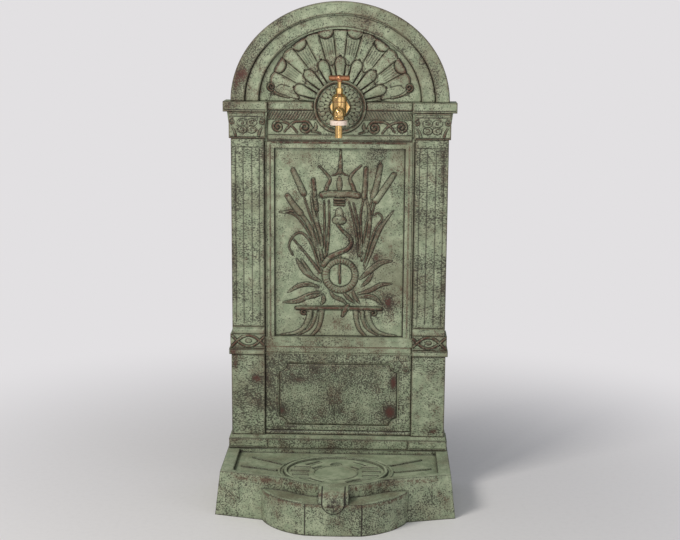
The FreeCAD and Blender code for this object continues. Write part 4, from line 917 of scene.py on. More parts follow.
@dataclass
class ArchHead:
    """The arch: two plain bands, the shell fan with its petals, and the wreathed roundel."""

    springing: float = 838.0
    half_width: float = 226.0
    rise: float = 204.0
    outer_face: float = 110.0
    step_face: float = 115.0
    ground_face: float = 122.0
    first_groove: float = 0.872
    second_groove: float = 0.745
    centre: Point = (0.0, 828.0)
    spacing: float = 22.5
    fan_radius: float = 160.0
    petal_top: float = 102.0
    roundel_radius: float = 54.0
    roundel_face: float = 114.0

    def ring(self, name: str, inner: float, outer: float, face: float, lift: float,
             draw: Callable[[Relief, np.ndarray], None], steps: int, rows: int,
             material: bpy.types.Material) -> bpy.types.Object:
        """Makes a plate between two half ellipses of the arch's shape.

        Args:
            name: The piece's name.
            inner, outer: The two edges, as shares of the arch's outline.
            face: The casting's face there.
            lift: How thick the plate is.
            draw: Draws its relief, given the heights and the share.
            steps: Points along the arch.
            rows: Points across it.
            material: Its material.

        Returns:
            The new object.
        """
        angle, share = np.meshgrid(np.radians(np.linspace(180.0, 0, steps)), np.linspace(inner, outer, rows))
        relief = Relief(self.half_width * share * np.cos(angle),
                        self.springing + self.rise * share * np.sin(angle))
        draw(relief, share)
        edge = np.minimum((share - inner) * self.rise, (outer - share) * self.rise)
        edge = np.minimum(edge, (relief.z - self.springing) + 0.4)
        return lay(name, relief, edge, 2.4, face, lift, (outer - inner) * self.rise / rows, 0.6, material)

    def draw_band(self, relief: Relief, share: np.ndarray) -> None:
        """A plain band, slightly hollow near its inner edge."""
        relief.h += 0.5 * np.cos((share - share.min()) / (share.max() - share.min()) * 2 * np.pi)

    def draw_fan(self, relief: Relief, share: np.ndarray) -> None:
        """The shell fan: smooth lobes, ribbed flutes under half moons, petals, darts and side scrolls.

        Everything is laid out by distance and angle from the roundel's centre, at equal angles.
        """
        rho, phi = polar(relief.x, relief.z, self.centre)
        lean = np.abs(phi)
        limit = self.fan_radius - 9 * np.clip(lean / 80, 0, 1) ** 2
        offset = phi - self.spacing * np.round(phi / self.spacing)
        flute_index = np.floor(lean / self.spacing)
        across = rho * np.radians(offset)
        flute_across = rho * np.radians(lean - self.spacing * (flute_index + 0.5))
        is_flute = flute_index < 3
        flute_half = 11.5 + 3.5 * (rho - 102) / 40

        top = limit - 3 + 4.5 * np.cos(np.radians(offset / self.spacing * 360)) * step(lean, 0, 8)
        lobe_half = rho * np.radians(self.spacing / 2) - np.where(is_flute, flute_half, 4) * 0.55
        lobe_half = np.maximum(lobe_half, 3)
        lobe = 3.2 * rounded(across / (lobe_half + 5))
        inside = (rho > 84) & (rho < top) & (lean < 80)
        relief.h = np.where(inside, np.maximum(relief.h, lobe), relief.h)
        relief.h -= 2.2 * bump(rho - top, 1.3) * (lean < 82)

        in_flute = is_flute & (np.abs(flute_across) < flute_half) & (rho > 94) & (rho < limit - 1)
        ribs = 0.9 + 0.6 * np.cos(flute_across / flute_half * 5.0 * np.pi)
        ribs = ribs * step(rho, 103, 109) + 1.2 * (1 - step(rho, 103, 109))
        bowl = np.clip((rho - 94) / 9, 0, 1)
        cup = np.where(np.abs(flute_across) < flute_half * np.sqrt(bowl), ribs, relief.h)
        relief.h = np.where(in_flute, cup, relief.h)
        relief.h -= 2.0 * bump(np.abs(np.abs(flute_across) - flute_half), 1.1) * (
            is_flute & (rho > 99) & (rho < limit - 8))

        gap = rho - (limit - 1 - 17 * rounded(flute_across / 16.5))
        in_moon = is_flute & (np.abs(flute_across) < 16.4) & (gap > 0) & (rho < limit - 1)
        relief.h = np.where(in_moon, 4.6 - 1.6 * (1 - np.clip(gap / 12, 0, 1)) ** 2, relief.h)
        relief.h -= 2.6 * bump(gap + 1.0, 1.2) * (is_flute & (np.abs(flute_across) < 16.8))

        reach = np.clip((rho - 54) / (self.petal_top - 54), 0, 1)
        petal_half = 5.0 + 5.4 * np.clip(reach / 0.72, 0, 1)
        petal_half = petal_half * rounded(np.clip(reach - 0.72, 0, 1) / 0.28)
        in_petal = (np.abs(across) < petal_half) & (rho < self.petal_top) & (lean < 80)
        relief.h = np.where((rho < 88) & (lean < 84), 1.6, relief.h)
        relief.h -= 2.8 * bump(np.abs(across) - petal_half - 1.2, 1.3) * (
            (rho < self.petal_top + 3) & (lean < 84))
        relief.h -= 2.4 * bump(rho - 89 - 3 * np.cos(np.radians(offset * 16)), 1.4) * ~in_petal * (lean < 84)
        relief.h = np.where(in_petal, 1.8 + 2.6 * rounded(across / np.maximum(petal_half, 0.1)), relief.h)
        in_dart = (np.abs(flute_across) < 3.6 * np.clip((88 - rho) / 18, 0, 1)) & (lean < 80)
        relief.h = np.where(in_dart, 2.6, relief.h)

        for side in (-1, 1):
            relief.stroke(mirrored(((106, 846), (122, 850), (136, 858), (146, 872)), side), 6, 3.0,
                          ends=(0.4, 1.0), outline=1.6)
            scroll = spiral((side * 142, 868), 8.5, 1.3, 270 - 20 * side, side)
            relief.stroke(scroll, 3.4, 3.6, outline=1.6)
            relief.groove(mirrored(((104, 868), (122, 872), (132, 866)), side), 2.0, 1.6)

    def draw_roundel(self, relief: Relief) -> None:
        """A raised rim round two rows of overlapping leaves, by distance and angle about the centre."""
        rho, phi = polar(relief.x, relief.z, self.centre)
        relief.h += 3.0 * step(rho, 48.5, 49.5) - 3.4 * bump(rho - 48, 1.3)
        for inner, outer, count, shift in ((32, 45, 24, 0.0), (22, 34, 24, 0.5)):
            cell = (phi / 360 * count + shift) % 1 - 0.5
            t = np.clip((rho - inner) / (outer - inner), 0, 1)
            half = 0.47 * np.sqrt(np.clip(1 - t**3, 0, 1)) + 0.001
            leaf = 0.6 + 1.6 * rounded(cell / half) * (1 - 0.3 * t)
            relief.h = np.where((rho > inner) & (rho < outer) & (np.abs(cell) < half), leaf, relief.h)

    def build(self, finishes: Finishes) -> None:
        """Makes the bands, the fan and the roundel."""
        self.ring("arch_outer_band", self.first_groove, 1.0, self.outer_face, 2.0, self.draw_band, 460, 22,
                  finishes.iron)
        self.ring("arch_inner_band", self.second_groove, self.first_groove, self.step_face, 2.0,
                  self.draw_band, 420, 22, finishes.iron)
        self.ring("arch_fan", 0.10, self.second_groove, self.ground_face, 1.6, self.draw_fan, 520, 130,
                  finishes.relief)
        self.build_roundel(finishes.relief)

    def build_roundel(self, material: bpy.types.Material) -> None:
        """Makes the roundel: a ring of points from near the tap out over the rim and back to the ground."""
        shoulder = self.roundel_radius - 2
        rings = np.concatenate([np.linspace(17, shoulder, 64),
                                shoulder + 2 * np.sin(np.linspace(0.3, np.pi / 2, 5))])
        rho, turn = np.meshgrid(rings, np.radians(np.linspace(0, 360, 300, endpoint=False)), indexing="ij")
        relief = Relief(self.centre[0] - rho * np.cos(turn), self.centre[1] + rho * np.sin(turn))
        self.draw_roundel(relief)
        height = relief.h - 2.0 * (1 - rounded(np.clip((rho - self.roundel_radius + 2) / 2, 0, 1)))
        front = np.stack([relief.x, self.roundel_face - 2.6 - height, relief.z], -1)
        rear = front[[-1, 0]].copy()
        rear[..., 1] = self.roundel_face + 5.0
        sheet = Sheet("roundel", np.concatenate([front, rear]))
        # hollow: painted shade over the dark iron in the recesses; rub: worn paint on the high places.
        worn = hollow_shade_and_wear(height, 0.8)
        worn["stain"] = stain_at(relief.x, relief.z)
        sheet.values = {k: np.concatenate([v, v[-1:], v[:1]]) for k, v in worn.items()}
        sheet.shell(material, wrap_rows=True)


@dataclass
class TallField:
    """The tall field between the pilasters: trident, snake, reeds, leaves and brackets in a moulded frame."""

    half: float = 157.0
    low: float = 303.0
    high: float = 757.0
    inner_half: float = 137.0
    inner_low: float = 339.0
    inner_high: float = 745.0
    face: float = 122.0

    def draw_frame(self, relief: Relief) -> None:
        """The moulded frame: a cove up from the field, a fillet and a flat border, with the rail below."""
        x, z = relief.x, relief.z
        out = np.maximum(np.maximum(np.abs(x) - self.inner_half, z - self.inner_high), self.inner_low - z)
        relief.h += 8.2 * step(out, -1.0, 9.0)
        relief.h -= 0.9 * bump(out + 1.0, 1.2) + 0.7 * bump(out - 15.0, 0.8)
        relief.h += 2.0 * step(z, 320, 318) - 2.4 * bump(z - 319.5, 1.1)

    def draw_trident(self, relief: Relief) -> None:
        """The trident's head, its collars and the bud below."""
        relief.stroke([(2, 744), (2, 728), (2, 712), (1, 692)], 8.5, 3.6, ends=(0.15, 1.0), outline=1.2)
        for line in ([(1, 696), (-6, 688), (-16, 684)], [(1, 696), (9, 688), (21, 684)]):
            relief.stroke(line, 3.4, 2.4, ends=(1.2, 0.4), outline=0.8)
        relief.stroke([(0, 682), (0, 668), (0, 650)], 10.5, 3.4, swell=0.9, outline=1.0)
        for line in ([(-43, 704), (-31, 692), (-20, 677), (-26, 662), (-29, 648)],
                     [(45, 706), (31, 693), (22, 679), (28, 662), (32, 648)]):
            relief.stroke(line, 7.5, 3.2, ends=(0.3, 1.0), outline=1.2)
        relief.stroke([(-36, 643), (-18, 646), (0, 645), (18, 646), (38, 643)], 12, 4.2, outline=2.0)
        for z in (634, 628.5, 623):
            relief.stroke([(-10, z), (10, z)], 3.8, 2.8, outline=0.8)
        relief.dome((0, 602), (8, 14), 3.4, outline=0.8)
        relief.dome((0, 590), (14, 9), 4.2, outline=1.2)

    def draw_snake(self, relief: Relief) -> None:
        """The snake that hangs from the bud and closes into a ring."""
        neck = [(-3, 580), (8, 567), (22, 554), (26, 541), (16, 528), (-4, 519), (-22, 509), (-33, 494)]
        relief.stroke([(2, 514), (1, 486), (2, 456)], 4.0, 2.4, outline=0.8)
        angle = np.radians(np.linspace(150, -205, 90))
        ring = np.stack([3 + 31.5 * np.cos(angle), 472 + 31.5 * np.sin(angle)], -1)
        relief.stroke(ring, 12.5, 4.4, ends=(0.8, 1.1), outline=1.6)
        relief.stroke(neck, 9.0, 4.2, ends=(0.5, 1.1), outline=1.4)
        rho, phi = polar(relief.x, relief.z, (3, 472))
        relief.h += 0.55 * np.cos(np.radians(phi) * 34) * bump(rho - 31.5, 4.5) * (rho < 40)

    def draw_reeds(self, relief: Relief) -> None:
        """The reed heads, their stems and the long blades."""
        stems = (
            [(-78, 650), (-62, 602), (-45, 552), (-34, 502)],
            [(-84, 608), (-62, 574), (-46, 540), (-36, 504)],
            [(-48, 614), (-44, 580), (-36, 530)], [(-22, 632), (-21, 590), (-24, 540), (-27, 516)],
            [(-32, 630), (-31, 590), (-31, 545), (-31, 512)], [(70, 642), (61, 600), (53, 556), (48, 505)],
            [(77, 634), (66, 594), (57, 552), (50, 508)], [(52, 642), (45, 600), (47, 550), (46, 515)],
            [(20, 628), (30, 592), (38, 548), (42, 515)], [(30, 626), (38, 590), (43, 548), (45, 520)],
            [(-124, 606), (-94, 600), (-66, 566), (-46, 520), (-37, 480)],
            [(-98, 515), (-106, 535), (-96, 556), (-78, 562), (-58, 538), (-42, 490)],
            [(-96, 548), (-72, 520), (-50, 492), (-40, 478)],
            [(72, 602), (82, 606), (90, 594), (76, 572), (62, 530), (54, 494)],
        )
        for line in stems:
            relief.stroke(line, 4.2, 2.2, ends=(0.5, 1.0), outline=1.1)
        for line in ([(-126, 606), (-88, 606), (-58, 566), (-36, 484)],
                     [(114, 612), (86, 572), (66, 520), (54, 486)],
                     [(56, 640), (64, 600), (60, 550), (51, 505)],
                     [(-60, 640), (-52, 600), (-40, 560), (-33, 520)]):
            relief.leaf(line, 7.0, 2.6)
        heads = (
            ((-97, 694), (-86, 670), (-75, 646), 13.0), ((-109, 641), (-98, 624), (-82, 604), 13.0),
            ((-55, 676), (-52, 644), (-48, 612), 8.5), ((85, 706), (79, 672), (71, 640), 12.5),
            ((113, 687), (97, 662), (76, 632), 13.5), ((55, 700), (54, 668), (52, 640), 10.0),
        )
        for start, middle, end, width in heads:
            relief.stroke([start, middle, end], width, 4.0, ends=(0.72, 0.9), outline=1.3)
        relief.stroke([(85, 716), (85, 706)], 3.0, 2.0)
        relief.stroke([(-100, 702), (-97, 694)], 2.6, 1.8)

    def draw_leaves(self, relief: Relief) -> None:
        """The pointed leaves round the ring and the toothed ones above the bar."""
        for line, width in (
            ([(-38, 458), (-56, 468), (-74, 482), (-90, 506)], 10),
            ([(44, 464), (66, 484), (88, 500), (112, 504)], 11),
            ([(40, 432), (66, 440), (88, 452), (112, 455)], 8),
            ([(-42, 446), (-64, 452), (-86, 448), (-108, 434)], 8),
            ([(-40, 436), (-64, 428), (-88, 416), (-118, 412)], 10),
            ([(-38, 430), (-56, 426), (-72, 420)], 7),
            ([(38, 424), (56, 428), (76, 424), (92, 410)], 9), ([(-52, 466), (-66, 484), (-80, 506)], 6),
            ([(48, 448), (62, 462), (72, 478)], 7), ([(-20, 440), (-10, 426), (8, 418), (18, 408)], 7),
            ([(30, 440), (34, 426), (44, 412)], 7), ([(-34, 432), (-32, 418), (-38, 408)], 7),
            ([(8, 436), (20, 424), (34, 412)], 6),
        ):
            relief.leaf(line, width, 3.0)

    def draw_brackets(self, relief: Relief) -> None:
        """The bar with its knot, and the two sweeping brackets under it."""
        for s in (-1, 1):
            for line, width, height, end, outline in (
                (((62, 396), (64, 378), (76, 356), (96, 345), (122, 341)), 12, 2.6, 0.25, 1.3),
                (((49, 398), (52, 376), (62, 356), (84, 342)), 8, 2.2, 0.3, 1.3),
                (((36, 398), (38, 376), (44, 356), (56, 341)), 10, 2.8, 0.5, 1.5),
            ):
                relief.stroke(mirrored(line, s), width, height, ends=(1.0, end), outline=outline)
            relief.stroke(spiral((s * 74, 391), 7.5, 1.2, 160 if s > 0 else 20, -s), 3.4, 2.8, outline=1.3)
        relief.stroke([(-90, 400), (0, 401), (90, 400)], 6.2, 3.8, outline=2.0)
        relief.stroke([(20, 409), (14, 398), (8, 384)], 9.0, 4.6, swell=0.6, outline=1.2)

    def draw(self, relief: Relief) -> None:
        """Draws the whole field."""
        self.draw_reeds(relief)
        self.draw_leaves(relief)
        self.draw_brackets(relief)
        self.draw_trident(relief)
        self.draw_snake(relief)
        self.draw_frame(relief)

    def build(self, finishes: Finishes) -> None:
        """Makes the field."""
        Patch("tall_field", -self.half, self.half, self.low, self.high, self.face, self.draw,
              cell=1.25).build(finishes.relief)


@dataclass
class Entablature:
    """The frieze under the arch: scrolls, slanting darts and a plain fascia each side of the roundel."""

    half: float = 151.0
    low: float = 757.0
    high: float = 838.0
    face: float = 114.0
    sunk: float = 1.5

    def draw(self, relief: Relief) -> None:
        """Draws both halves alike, and leaves room for the roundel."""
        x, z = relief.x, relief.z
        lean = (np.abs(x) + (z - 809) * 0.6) / 6.2
        darts = np.abs((lean % 1) - 0.5) * 2
        band = step(z, 800.5, 802) * step(z, 819, 817.5)
        relief.h += band * (2.4 * darts - 1.4)
        relief.h += 2.2 * step(z, 819.5, 821.5) + 1.6 * step(z, 770.5, 768.5)
        for level in (820.2, 801.0, 769.5, 759.5):
            relief.cut(z - level, 1.0, 1.5)
        for s in (-1, 1):
            relief.stroke(spiral((s * 72, 785), 13, 1.6, 90, s), 4.0, 2.6, outline=1.2)
            relief.stroke(spiral((s * 128, 786), 11.5, 1.5, 90, -s), 4.0, 2.6, outline=1.2)
            for line in (((72, 798), (94, 796), (108, 784), (114, 776)),
                         ((128, 797.5), (112, 795), (98, 786), (88, 774)), ((60, 788), (54, 778), (40, 773))):
                relief.stroke(mirrored(line, s), 4.4, 2.4, ends=(1.0, 0.5), outline=1.0)
            relief.leaf(mirrored(((58, 776), (50, 784), (50, 794)), s), 6, 2.2)
        relief.h = np.where(np.hypot(x, z - 828) < 55.5, -self.sunk, relief.h)

    def build(self, finishes: Finishes) -> None:
        """Makes the frieze."""
        Patch("entablature", -self.half, self.half, self.low, self.high, self.face, self.draw,
              cell=1.1).build(finishes.relief)


@dataclass
class Pilaster:
    """One pilaster from its dado block to the abacus, mirrored for the other side."""

    side: Side
    inner: float = 157.0
    outer: float = 226.0
    dado_outer: float = 228.5
    cap_outer: float = 233.0
    frieze_outer: float = 230.5
    abacus_inner: float = 150.0
    abacus_outer: float = 241.5

    @property
    def middle(self) -> float:
        """The shaft's axis."""
        return self.side.value * (self.inner + self.outer) / 2

    def patch(self, label: str, inner: float, outer: float, low: float, high: float, face: float,
              draw: Callable[[Relief], None], material: bpy.types.Material, **sizes: float) -> None:
        """Makes one patch on this side."""
        ends = sorted((self.side.value * inner, self.side.value * outer))
        Patch(f"{label}_{self.side.name.lower()}", *ends, low, high, face, draw, **sizes).build(material)

    def draw_cap(self, relief: Relief) -> None:
        """The cap: a slab with a groove under its top."""
        relief.cut(relief.z - 311.0, 1.0, 1.4)

    def draw_frieze(self, relief: Relief) -> None:
        """The lozenge frieze: a diamond in the middle with a crossing at each side."""
        middle = self.middle
        x = relief.x - middle
        for flip in (-1, 1):
            rises = enumerate((-12, 0, 9, 12, 9, 0, -12), -3)
            line = [(middle + 12 * k, 330.5 + flip * rise) for k, rise in rises]
            relief.stroke(line, 4.2, 2.4, outline=1.2)
        relief.dome((middle, 330.5), (6, 4), 1.8, outline=0.8)
        relief.h *= np.where(np.abs(x) < 40, 1, 0.3)
        for level in (317.5, 343.5):
            relief.cut(relief.z - level, 0.9, 1.3)

    def draw_band(self, relief: Relief) -> None:
        """The rounded band and the groove at the shaft's foot."""
        relief.h += 1.8 * rounded((relief.z - 349) / 5.0)
        relief.cut(relief.z - 358.0, 2.2, 1.8)

    def draw_shaft(self, relief: Relief) -> None:
        """The shaft: a plain block above three fine upright ribs."""
        x = np.abs(relief.x - self.middle)
        run = step(relief.z, 366, 372) * step(relief.z, 746, 742)
        relief.cut(x - 25.0, 1.5, run * 1.3)
        relief.cut(x - 9.0, 1.3, run * 1.0)
        relief.cut(relief.z - 744, 1.2, 1.4)

    def draw_bell(self, relief: Relief) -> None:
        """The bell: fillets under the abacus, a scallop pair, corner curls and a ring at its foot."""
        middle, z = self.middle, relief.z
        relief.h += 3.2 * step(z, 770, 812)
        for level in (812.5, 807.5):
            relief.cut(z - level, 0.8, 1.3)
        relief.cut(z - 765, 1.0, 1.6)
        for row, (level, size) in enumerate(((795, 8.5), (780, 8.0))):
            for s in (-1, 1):
                place = (middle + s * (10.5 if row == 0 else 9.5), level)
                relief.dome(place, (size + 1, size - 1), 2.2, outline=1.2)
                relief.stroke(spiral(place, size - 2.5, 0.8, 90 - s * 60, s), 1.8, 2.6, outline=0.5)
        for s in (-1, 1):
            curl = spiral((middle + s * 31, 797), 7.0, 1.1, 90 + 10 * s, -s)
            relief.stroke(curl, 3.0, 2.6, outline=1.0)
            relief.stroke([(middle + s * 24, 768), (middle + s * 27, 778), (middle + s * 33, 788)], 4, 2.0,
                          ends=(1.0, 0.4), outline=0.8)

    def draw_abacus(self, relief: Relief) -> None:
        """The abacus: a slab with a thin groove near its top."""
        relief.cut(relief.z - 821, 0.9, 1.2)

    def build(self, finishes: Finishes) -> None:
        """Makes the pilaster's patches from the foot up."""
        self.patch("dado_block", self.inner, self.dado_outer, 122, 301, 108.0, plain, finishes.brushed)
        self.patch("cap", self.inner, self.cap_outer, 301, 314, 104.0, self.draw_cap, finishes.iron, cell=0.9)
        self.patch("lozenge_frieze", self.inner, self.frieze_outer, 314, 345, 106.0, self.draw_frieze,
                   finishes.relief, cell=0.9)
        self.patch("foot_band", self.inner, self.outer, 345, 362, 108.0, self.draw_band, finishes.iron,
                   cell=0.9)
        self.patch("shaft", self.inner, self.outer, 362, 762, 108.0, self.draw_shaft, finishes.brushed)
        self.patch("bell", self.inner - 3, self.outer + 4, 762, 817, 106.5, self.draw_bell, finishes.relief,
                   cell=0.9, back=4.0, lift=2.4)
        self.patch("abacus", self.abacus_inner, self.abacus_outer, 817, 838, 102.0, self.draw_abacus,
                   finishes.iron, cell=0.9)


@dataclass
class Dado:
    """The panel below the field: an incised plate with hollow corners, and the plinth under it."""

    half: float = 157.0
    low: float = 122.0
    high: float = 303.0
    face: float = 114.0
    plate_half: float = 127.0
    plate_low: float = 143.0
    plate_high: float = 280.0
    notch: float = 17.0
    plinth_half: float = 235.0
    plinth_face: float = 103.0

    def distance(self, relief: Relief) -> np.ndarray:
        """How far each point is inside the incised outline, negative outside.

        The outline is a rectangle less a circle at each corner.
        """
        x, z = np.abs(relief.x), relief.z
        inside = np.minimum(self.plate_half - x, np.minimum(z - self.plate_low, self.plate_high - z))
        for level in (self.plate_low, self.plate_high):
            inside = np.minimum(inside, np.hypot(x - self.plate_half, z - level) - self.notch)
        return inside

    def draw(self, relief: Relief) -> None:
        """The groove round the plate, the stippled ground inside it, a casting crack and the base fillet."""
        inside = self.distance(relief)
        relief.cut(inside, 1.8, 3.0)
        relief.h += 0.8 * step(inside, 1.5, 4.5)
        x, z = relief.x, relief.z
        rough = np.sin(x * 1.31 + 2.1 * np.sin(z * 0.53)) * np.sin(z * 0.97 + 1.7 * np.sin(x * 0.41))
        relief.h += 0.35 * rough * step(inside, 1, 4)
        relief.groove([(-24, 216), (-16, 196), (-9, 172), (-8, 158), (0, 140)], 1.8, 1.3)
        relief.h += 2.0 * step(z, 130, 126)
        relief.cut(z - 131, 0.9, 1.5)

    def draw_side(self, relief: Relief) -> None:
        """A plinth block's face."""
        relief.cut(relief.z - 96.5, 0.9, 1.3)

    def build(self, finishes: Finishes) -> None:
        """Makes the dado and the plinth's faces."""
        Patch("dado_panel", -self.half, self.half, self.low, self.high, self.face,
              self.draw).build(finishes.stippled)
        for side in Side:
            ends = sorted((side.value * 151, side.value * self.plinth_half))
            Patch(f"plinth_{side.name.lower()}", *ends, 93.0, 114.0, self.plinth_face, self.draw_side,
                  lift=2.2, cell=1.0).build(finishes.brushed)
        Patch("plinth_middle", -151, 151, 93.0, 114.0, self.plinth_face, lift=0.5).build(finishes.stippled)


# ---------------------------------------------------------------- the scene
BACKDROP = srgb(226, 224, 226)


@dataclass
class Studio:
    """The floor, the soft lights, the world and the camera. Angles are in degrees and lengths in metres."""

    effects: Effects
    floor_radius: float = 12.0
    fade: Point = (0.35, 1.5)
    azimuth: float = 1.7
    elevation: float = 11.0
    roll: float = 0.38
    aim: tuple[float, float, float] = (0.0025, 0.1085, 0.486)
    distance: float = 2.8
    lens: float = 70.3
    sensor: float = 36.0

    def floor(self) -> None:
        """A large pale disc that fades into the world's colour."""
        bpy.ops.mesh.primitive_circle_add(vertices=96, radius=self.floor_radius, fill_type="NGON",
                                          location=(0, 0, -0.0002))
        ground = bpy.context.object
        ground.name = "floor"
        finish = PlainFinish("floor_paint", self.effects, srgb(226, 224, 222), srgb(220, 218, 216), 0.7, 60.0)
        material = finish.material()
        s = Shader(material.node_tree)
        reach = s.value("VectorMath", "Value", {0: s.value("TexCoord", "Object")}, operation="LENGTH")
        glow = s.add("Emission", {"Color": BACKDROP, "Strength": 1.0}).outputs[0]
        out = next(n for n in material.node_tree.nodes if n.type == "OUTPUT_MATERIAL")
        paint = out.inputs[0].links[0].from_socket
        blend = s.add("MixShader", {"Fac": s.ramp(reach, *self.fade), 1: paint, 2: glow})
        s.tree.links.new(blend.outputs[0], out.inputs[0])
        ground.data.materials.append(material)

    def light(self, name: str, place: tuple, target: tuple, size: float, power: float, colour: tuple) -> None:
        """Adds one area light.

        Args:
            name: Its name.
            place: Where it stands.
            target: What it faces.
            size: Its width.
            power: Its power in watts.
            colour: Its colour.
        """
        data = bpy.data.lights.new(name, "AREA")
        data.shape = "SQUARE"
        data.size = size
        data.energy = power
        data.color = colour
        lamp = bpy.data.objects.new(name, data)
        lamp.location = place
        lamp.rotation_mode = "QUATERNION"
        lamp.rotation_quaternion = (Vector(target) - Vector(place)).to_track_quat("-Z", "Y")
        bpy.context.scene.collection.objects.link(lamp)

    def world(self, seen: tuple, lit: tuple) -> None:
        """A plain pale world that lights the object less than it shows.

        Args:
            seen: The colour behind the object.
            lit: The colour of its light.
        """
        world = bpy.data.worlds.new("studio")
        world.use_nodes = True
        s = Shader(world.node_tree)
        colour = s.mix(s.value("LightPath", "Is Camera Ray"), lit, seen)
        s.tree.links.new(colour.socket, world.node_tree.nodes["Background"].inputs[0])
        bpy.context.scene.world = world

    def camera(self) -> None:
        """A long lens in front, a little right of the middle and above, turned very slightly."""
        azimuth, elevation, roll = (math.radians(a) for a in (self.azimuth, self.elevation, self.roll))
        back = Vector((math.sin(azimuth) * math.cos(elevation), -math.cos(azimuth) * math.cos(elevation),
                       math.sin(elevation)))
        data = bpy.data.cameras.new("view")
        data.lens = self.lens
        data.sensor_width = self.sensor
        camera = bpy.data.objects.new("view", data)
        camera.rotation_mode = "QUATERNION"
        turn = (-back).to_track_quat("-Z", "Y") @ Matrix.Rotation(roll, 3, "Z").to_quaternion()
        camera.rotation_quaternion = turn
        camera.location = Vector(self.aim) + back * self.distance
        bpy.context.scene.collection.objects.link(camera)
        bpy.context.scene.camera = camera

    def build(self) -> None:
        """Sets everything up."""
        self.floor()
        self.world(BACKDROP, srgb(150, 152, 158))
        self.light("key", (-1.7, -1.7, 2.6), (0, 0, 0.6), 0.9, 62.0, (1.0, 0.97, 0.93))
        self.light("fill", (2.4, -1.6, 1.4), (0, 0, 0.5), 1.6, 10.0, (0.93, 0.96, 1.0))
        self.light("spark", (-0.7, -1.6, 1.5), (0, 0.06, 0.84), 0.12, 2.6, (1.0, 0.98, 0.95))
        self.light("front", (0.3, -3.2, 1.0), (0, 0, 0.4), 2.2, 16.0, (1.0, 0.98, 0.96))
        self.camera()
        bpy.context.scene.view_settings.view_transform = "Standard"


def arc(start: Point, middle: Point, end: Point, steps: int = 40) -> np.ndarray:
    """Points on the circle through three points, from the first to the last."""
    a, b, c = (complex(*p) for p in (start, middle, end))
    w = (c - a) / (b - a)
    centre = (b - a) * (w - abs(w) ** 2) / (2j * w.imag) + a
    turns = np.unwrap(np.angle(np.array([a, b, c]) - centre))
    angle = np.linspace(turns[0], turns[2], steps)
    points = centre + abs(a - centre) * np.exp(1j * angle)
    return np.stack([points.real, points.imag], -1)


@dataclass
class Bead:
    """A rounded ridge that lies along a line on a level face."""

    name: str
    path: np.ndarray
    level: float
    half: float = 2.4
    height: float = 1.8
    closed: bool = False
    body: str = BODY

    def build(self, material: bpy.types.Material) -> bpy.types.Object:
        """Sweeps an oval section along the line; the ends of an open line taper to a point.

        Args:
            material: Its material.

        Returns:
            The new object.
        """
        line = np.asarray(self.path, float)
        if self.closed:
            run = np.roll(line, -1, 0) - np.roll(line, 1, 0)
            taper = np.ones(len(line))
        else:
            run = np.gradient(line, axis=0)
            share = np.linspace(0, 1, len(line))
            taper = np.sqrt(np.clip(1 - np.abs(2 * share - 1) ** 8, 0.004, 1))
        run /= np.linalg.norm(run, axis=1, keepdims=True)
        side = np.stack([-run[:, 1], run[:, 0]], -1)
        turn = np.linspace(0, 2 * np.pi, 14, endpoint=False)
        out = np.cos(turn)[None, :, None] * (self.half * taper)[:, None, None]
        flat = line[:, None] + side[:, None] * out
        up = self.level + np.sin(turn)[None] * (self.height * taper)[:, None]
        grid = np.concatenate([flat, up[..., None]], -1)
        return Sheet(self.name, grid, self.body).shell(material, wrap_rows=self.closed)


@dataclass
class BasinTrim:
    """The grate's ridges, the collar round it, and the lip along the drum's top."""

    centre_y: float = -15.0
    tray: float = 84.0
    drum_top: float = 66.0
    flank: float = 5.4
    slots: tuple = ((30.0, 0.0, 70.0, 24.0), (34.0, 0.0, 74.0, 0.0), (30.0, 0.0, 72.0, -24.0),
                    (20.0, 0.0, 62.0, -46.0), (32.0, -38.0, 48.0, 48.0), (20.0, -34.0, 38.0, 21.0),
                    (28.0, 34.0, 38.0, -57.0))

    def oval(self, half_width: float, half_depth: float, shift: float = 0.0) -> np.ndarray:
        """Points round an ellipse about the grate's centre."""
        angle = np.radians(np.arange(0, 360, 2.0))
        return np.stack([half_width * np.cos(angle), self.centre_y + shift + half_depth * np.sin(angle)], -1)

    def ridges(self, finishes: Finishes) -> None:
        """Lays a ridge each side of every slot, which is given by its length, angle and place."""
        for side in Side:
            for number, (length, angle, x, y) in enumerate(self.slots):
                lean = math.radians(angle) * side.value
                along = np.array([math.cos(lean), math.sin(lean)])
                across = np.array([-along[1], along[0]])
                middle = np.array([side.value * x, self.centre_y + y])
                reach = np.linspace(-length / 2 - 3, length / 2 + 3, 24)[:, None]
                for k in (-1, 1):
                    line = middle + along * reach + across * k * self.flank
                    name = f"grate_ridge_{side.name.lower()}_{number}_{'in' if k < 0 else 'out'}"
                    Bead(name, line, self.tray, 2.3, 2.2, body="grate").build(finishes.grate)

    def build(self, finishes: Finishes) -> None:
        """Makes every bead."""
        self.ridges(finishes)
        Bead("grate_oval", self.oval(45, 41, -9), self.tray, 2.0, 1.8, closed=True,
             body="grate").build(finishes.grate)
        Bead("grate_collar", self.oval(117.5, 95.5), self.tray, 3.0, 2.6, closed=True).build(finishes.basin)
        for side in Side:
            s = side.value
            edge = arc((s * 146.5, -76), (s * 115.5, -118.5), (s * 59, -151.5))
            Bead(f"drum_lip_{side.name.lower()}", edge, self.drum_top, 3.0, 2.6).build(finishes.basin)
            fin = np.stack([np.full(12, s * 30.0), np.linspace(-118, -146, 12)], -1)
            Bead(f"spout_fin_{side.name.lower()}", fin, 86.0, 2.0, 5.0).build(finishes.basin)


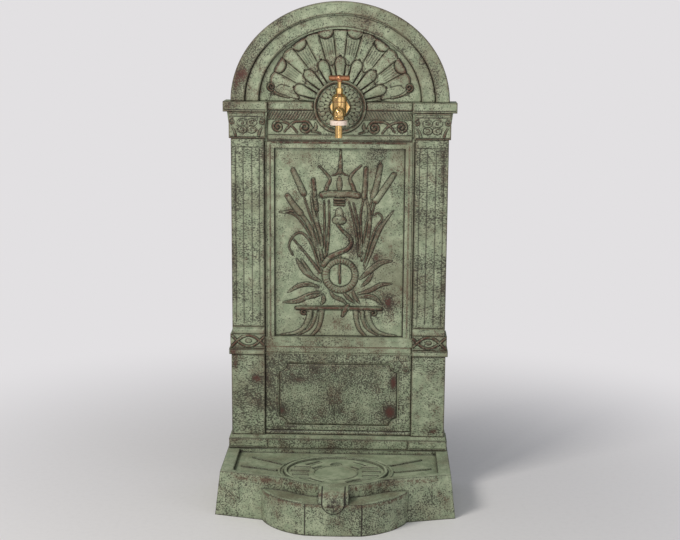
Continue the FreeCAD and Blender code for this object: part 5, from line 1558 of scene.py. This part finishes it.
@dataclass
class SpoutDrop:
    """The raised drop on the front of the tap's spout: an oval boss inside an oval lip."""

    axis_y: float = 38.0
    radius: float = 11.2
    low: float = 809.5
    high: float = 833.0
    half: float = 9.6
    proud: float = 1.5

    def build(self, material: bpy.types.Material) -> bpy.types.Object:
        """Wraps the drop round the spout's front.

        Each ring runs outward from the drop's middle. Its height is a low dome with a lip round it, and
        the outline narrows towards the top like a drop.

        Args:
            material: Its material.

        Returns:
            The new object.
        """
        turn = np.radians(np.linspace(0, -360, 72, endpoint=False))
        share, angle = np.meshgrid(np.linspace(0.04, 1.0, 26), turn, indexing="ij")
        tall = (self.high - self.low) / 2
        z = tall * share * np.sin(angle)
        x = self.half * share * np.cos(angle) * (1 - 0.3 * z / tall)
        z = z + (self.low + self.high) / 2
        rise = self.proud * (0.9 * rounded(share / 0.62) + bump(share - 0.82, 0.1) + 0.25) * rounded(share**3)
        lean = np.clip(z - 822, 0, None) ** 2 * 0.045
        y = self.axis_y - np.sqrt(np.clip(self.radius**2 - x**2, 1, None)) + lean - rise
        front = np.stack([x, y, z], -1)
        back = front[-1:].copy()
        back[..., 1] += 3.5
        return Sheet("spout_drop", np.concatenate([front, back])).shell(material, wrap_rows=False)


class Fountain:
    """The whole fountain: the frame's nodes in their finishes, and the relief laid over the castings."""

    def __init__(self) -> None:
        """Prepares the finishes."""
        self.finishes = Finishes()

    def dress_frame(self) -> None:
        """Gives every node of the frame its material."""
        slots = {s["node"]: s["material_slot"] for s in frame["record"]["subparts"]}
        for name, node in frame["nodes"].items():
            self.finishes.dress(node, slots[name])
            LOG.info("%s: %s", name, slots[name])

    def build(self) -> None:
        """Builds and dresses everything."""
        self.dress_frame()
        pilasters = [Pilaster(side) for side in Side]
        for part in (ArchHead(), TallField(), Entablature(), *pilasters, Dado(), BasinTrim()):
            part.build(self.finishes)
        SpoutDrop().build(self.finishes.by_slot["brass"])


def main() -> None:
    """Builds the fountain and its studio."""
    fountain = Fountain()
    fountain.build()
    Studio(fountain.finishes.effects).build()


if __name__ == "__main__":
    main()
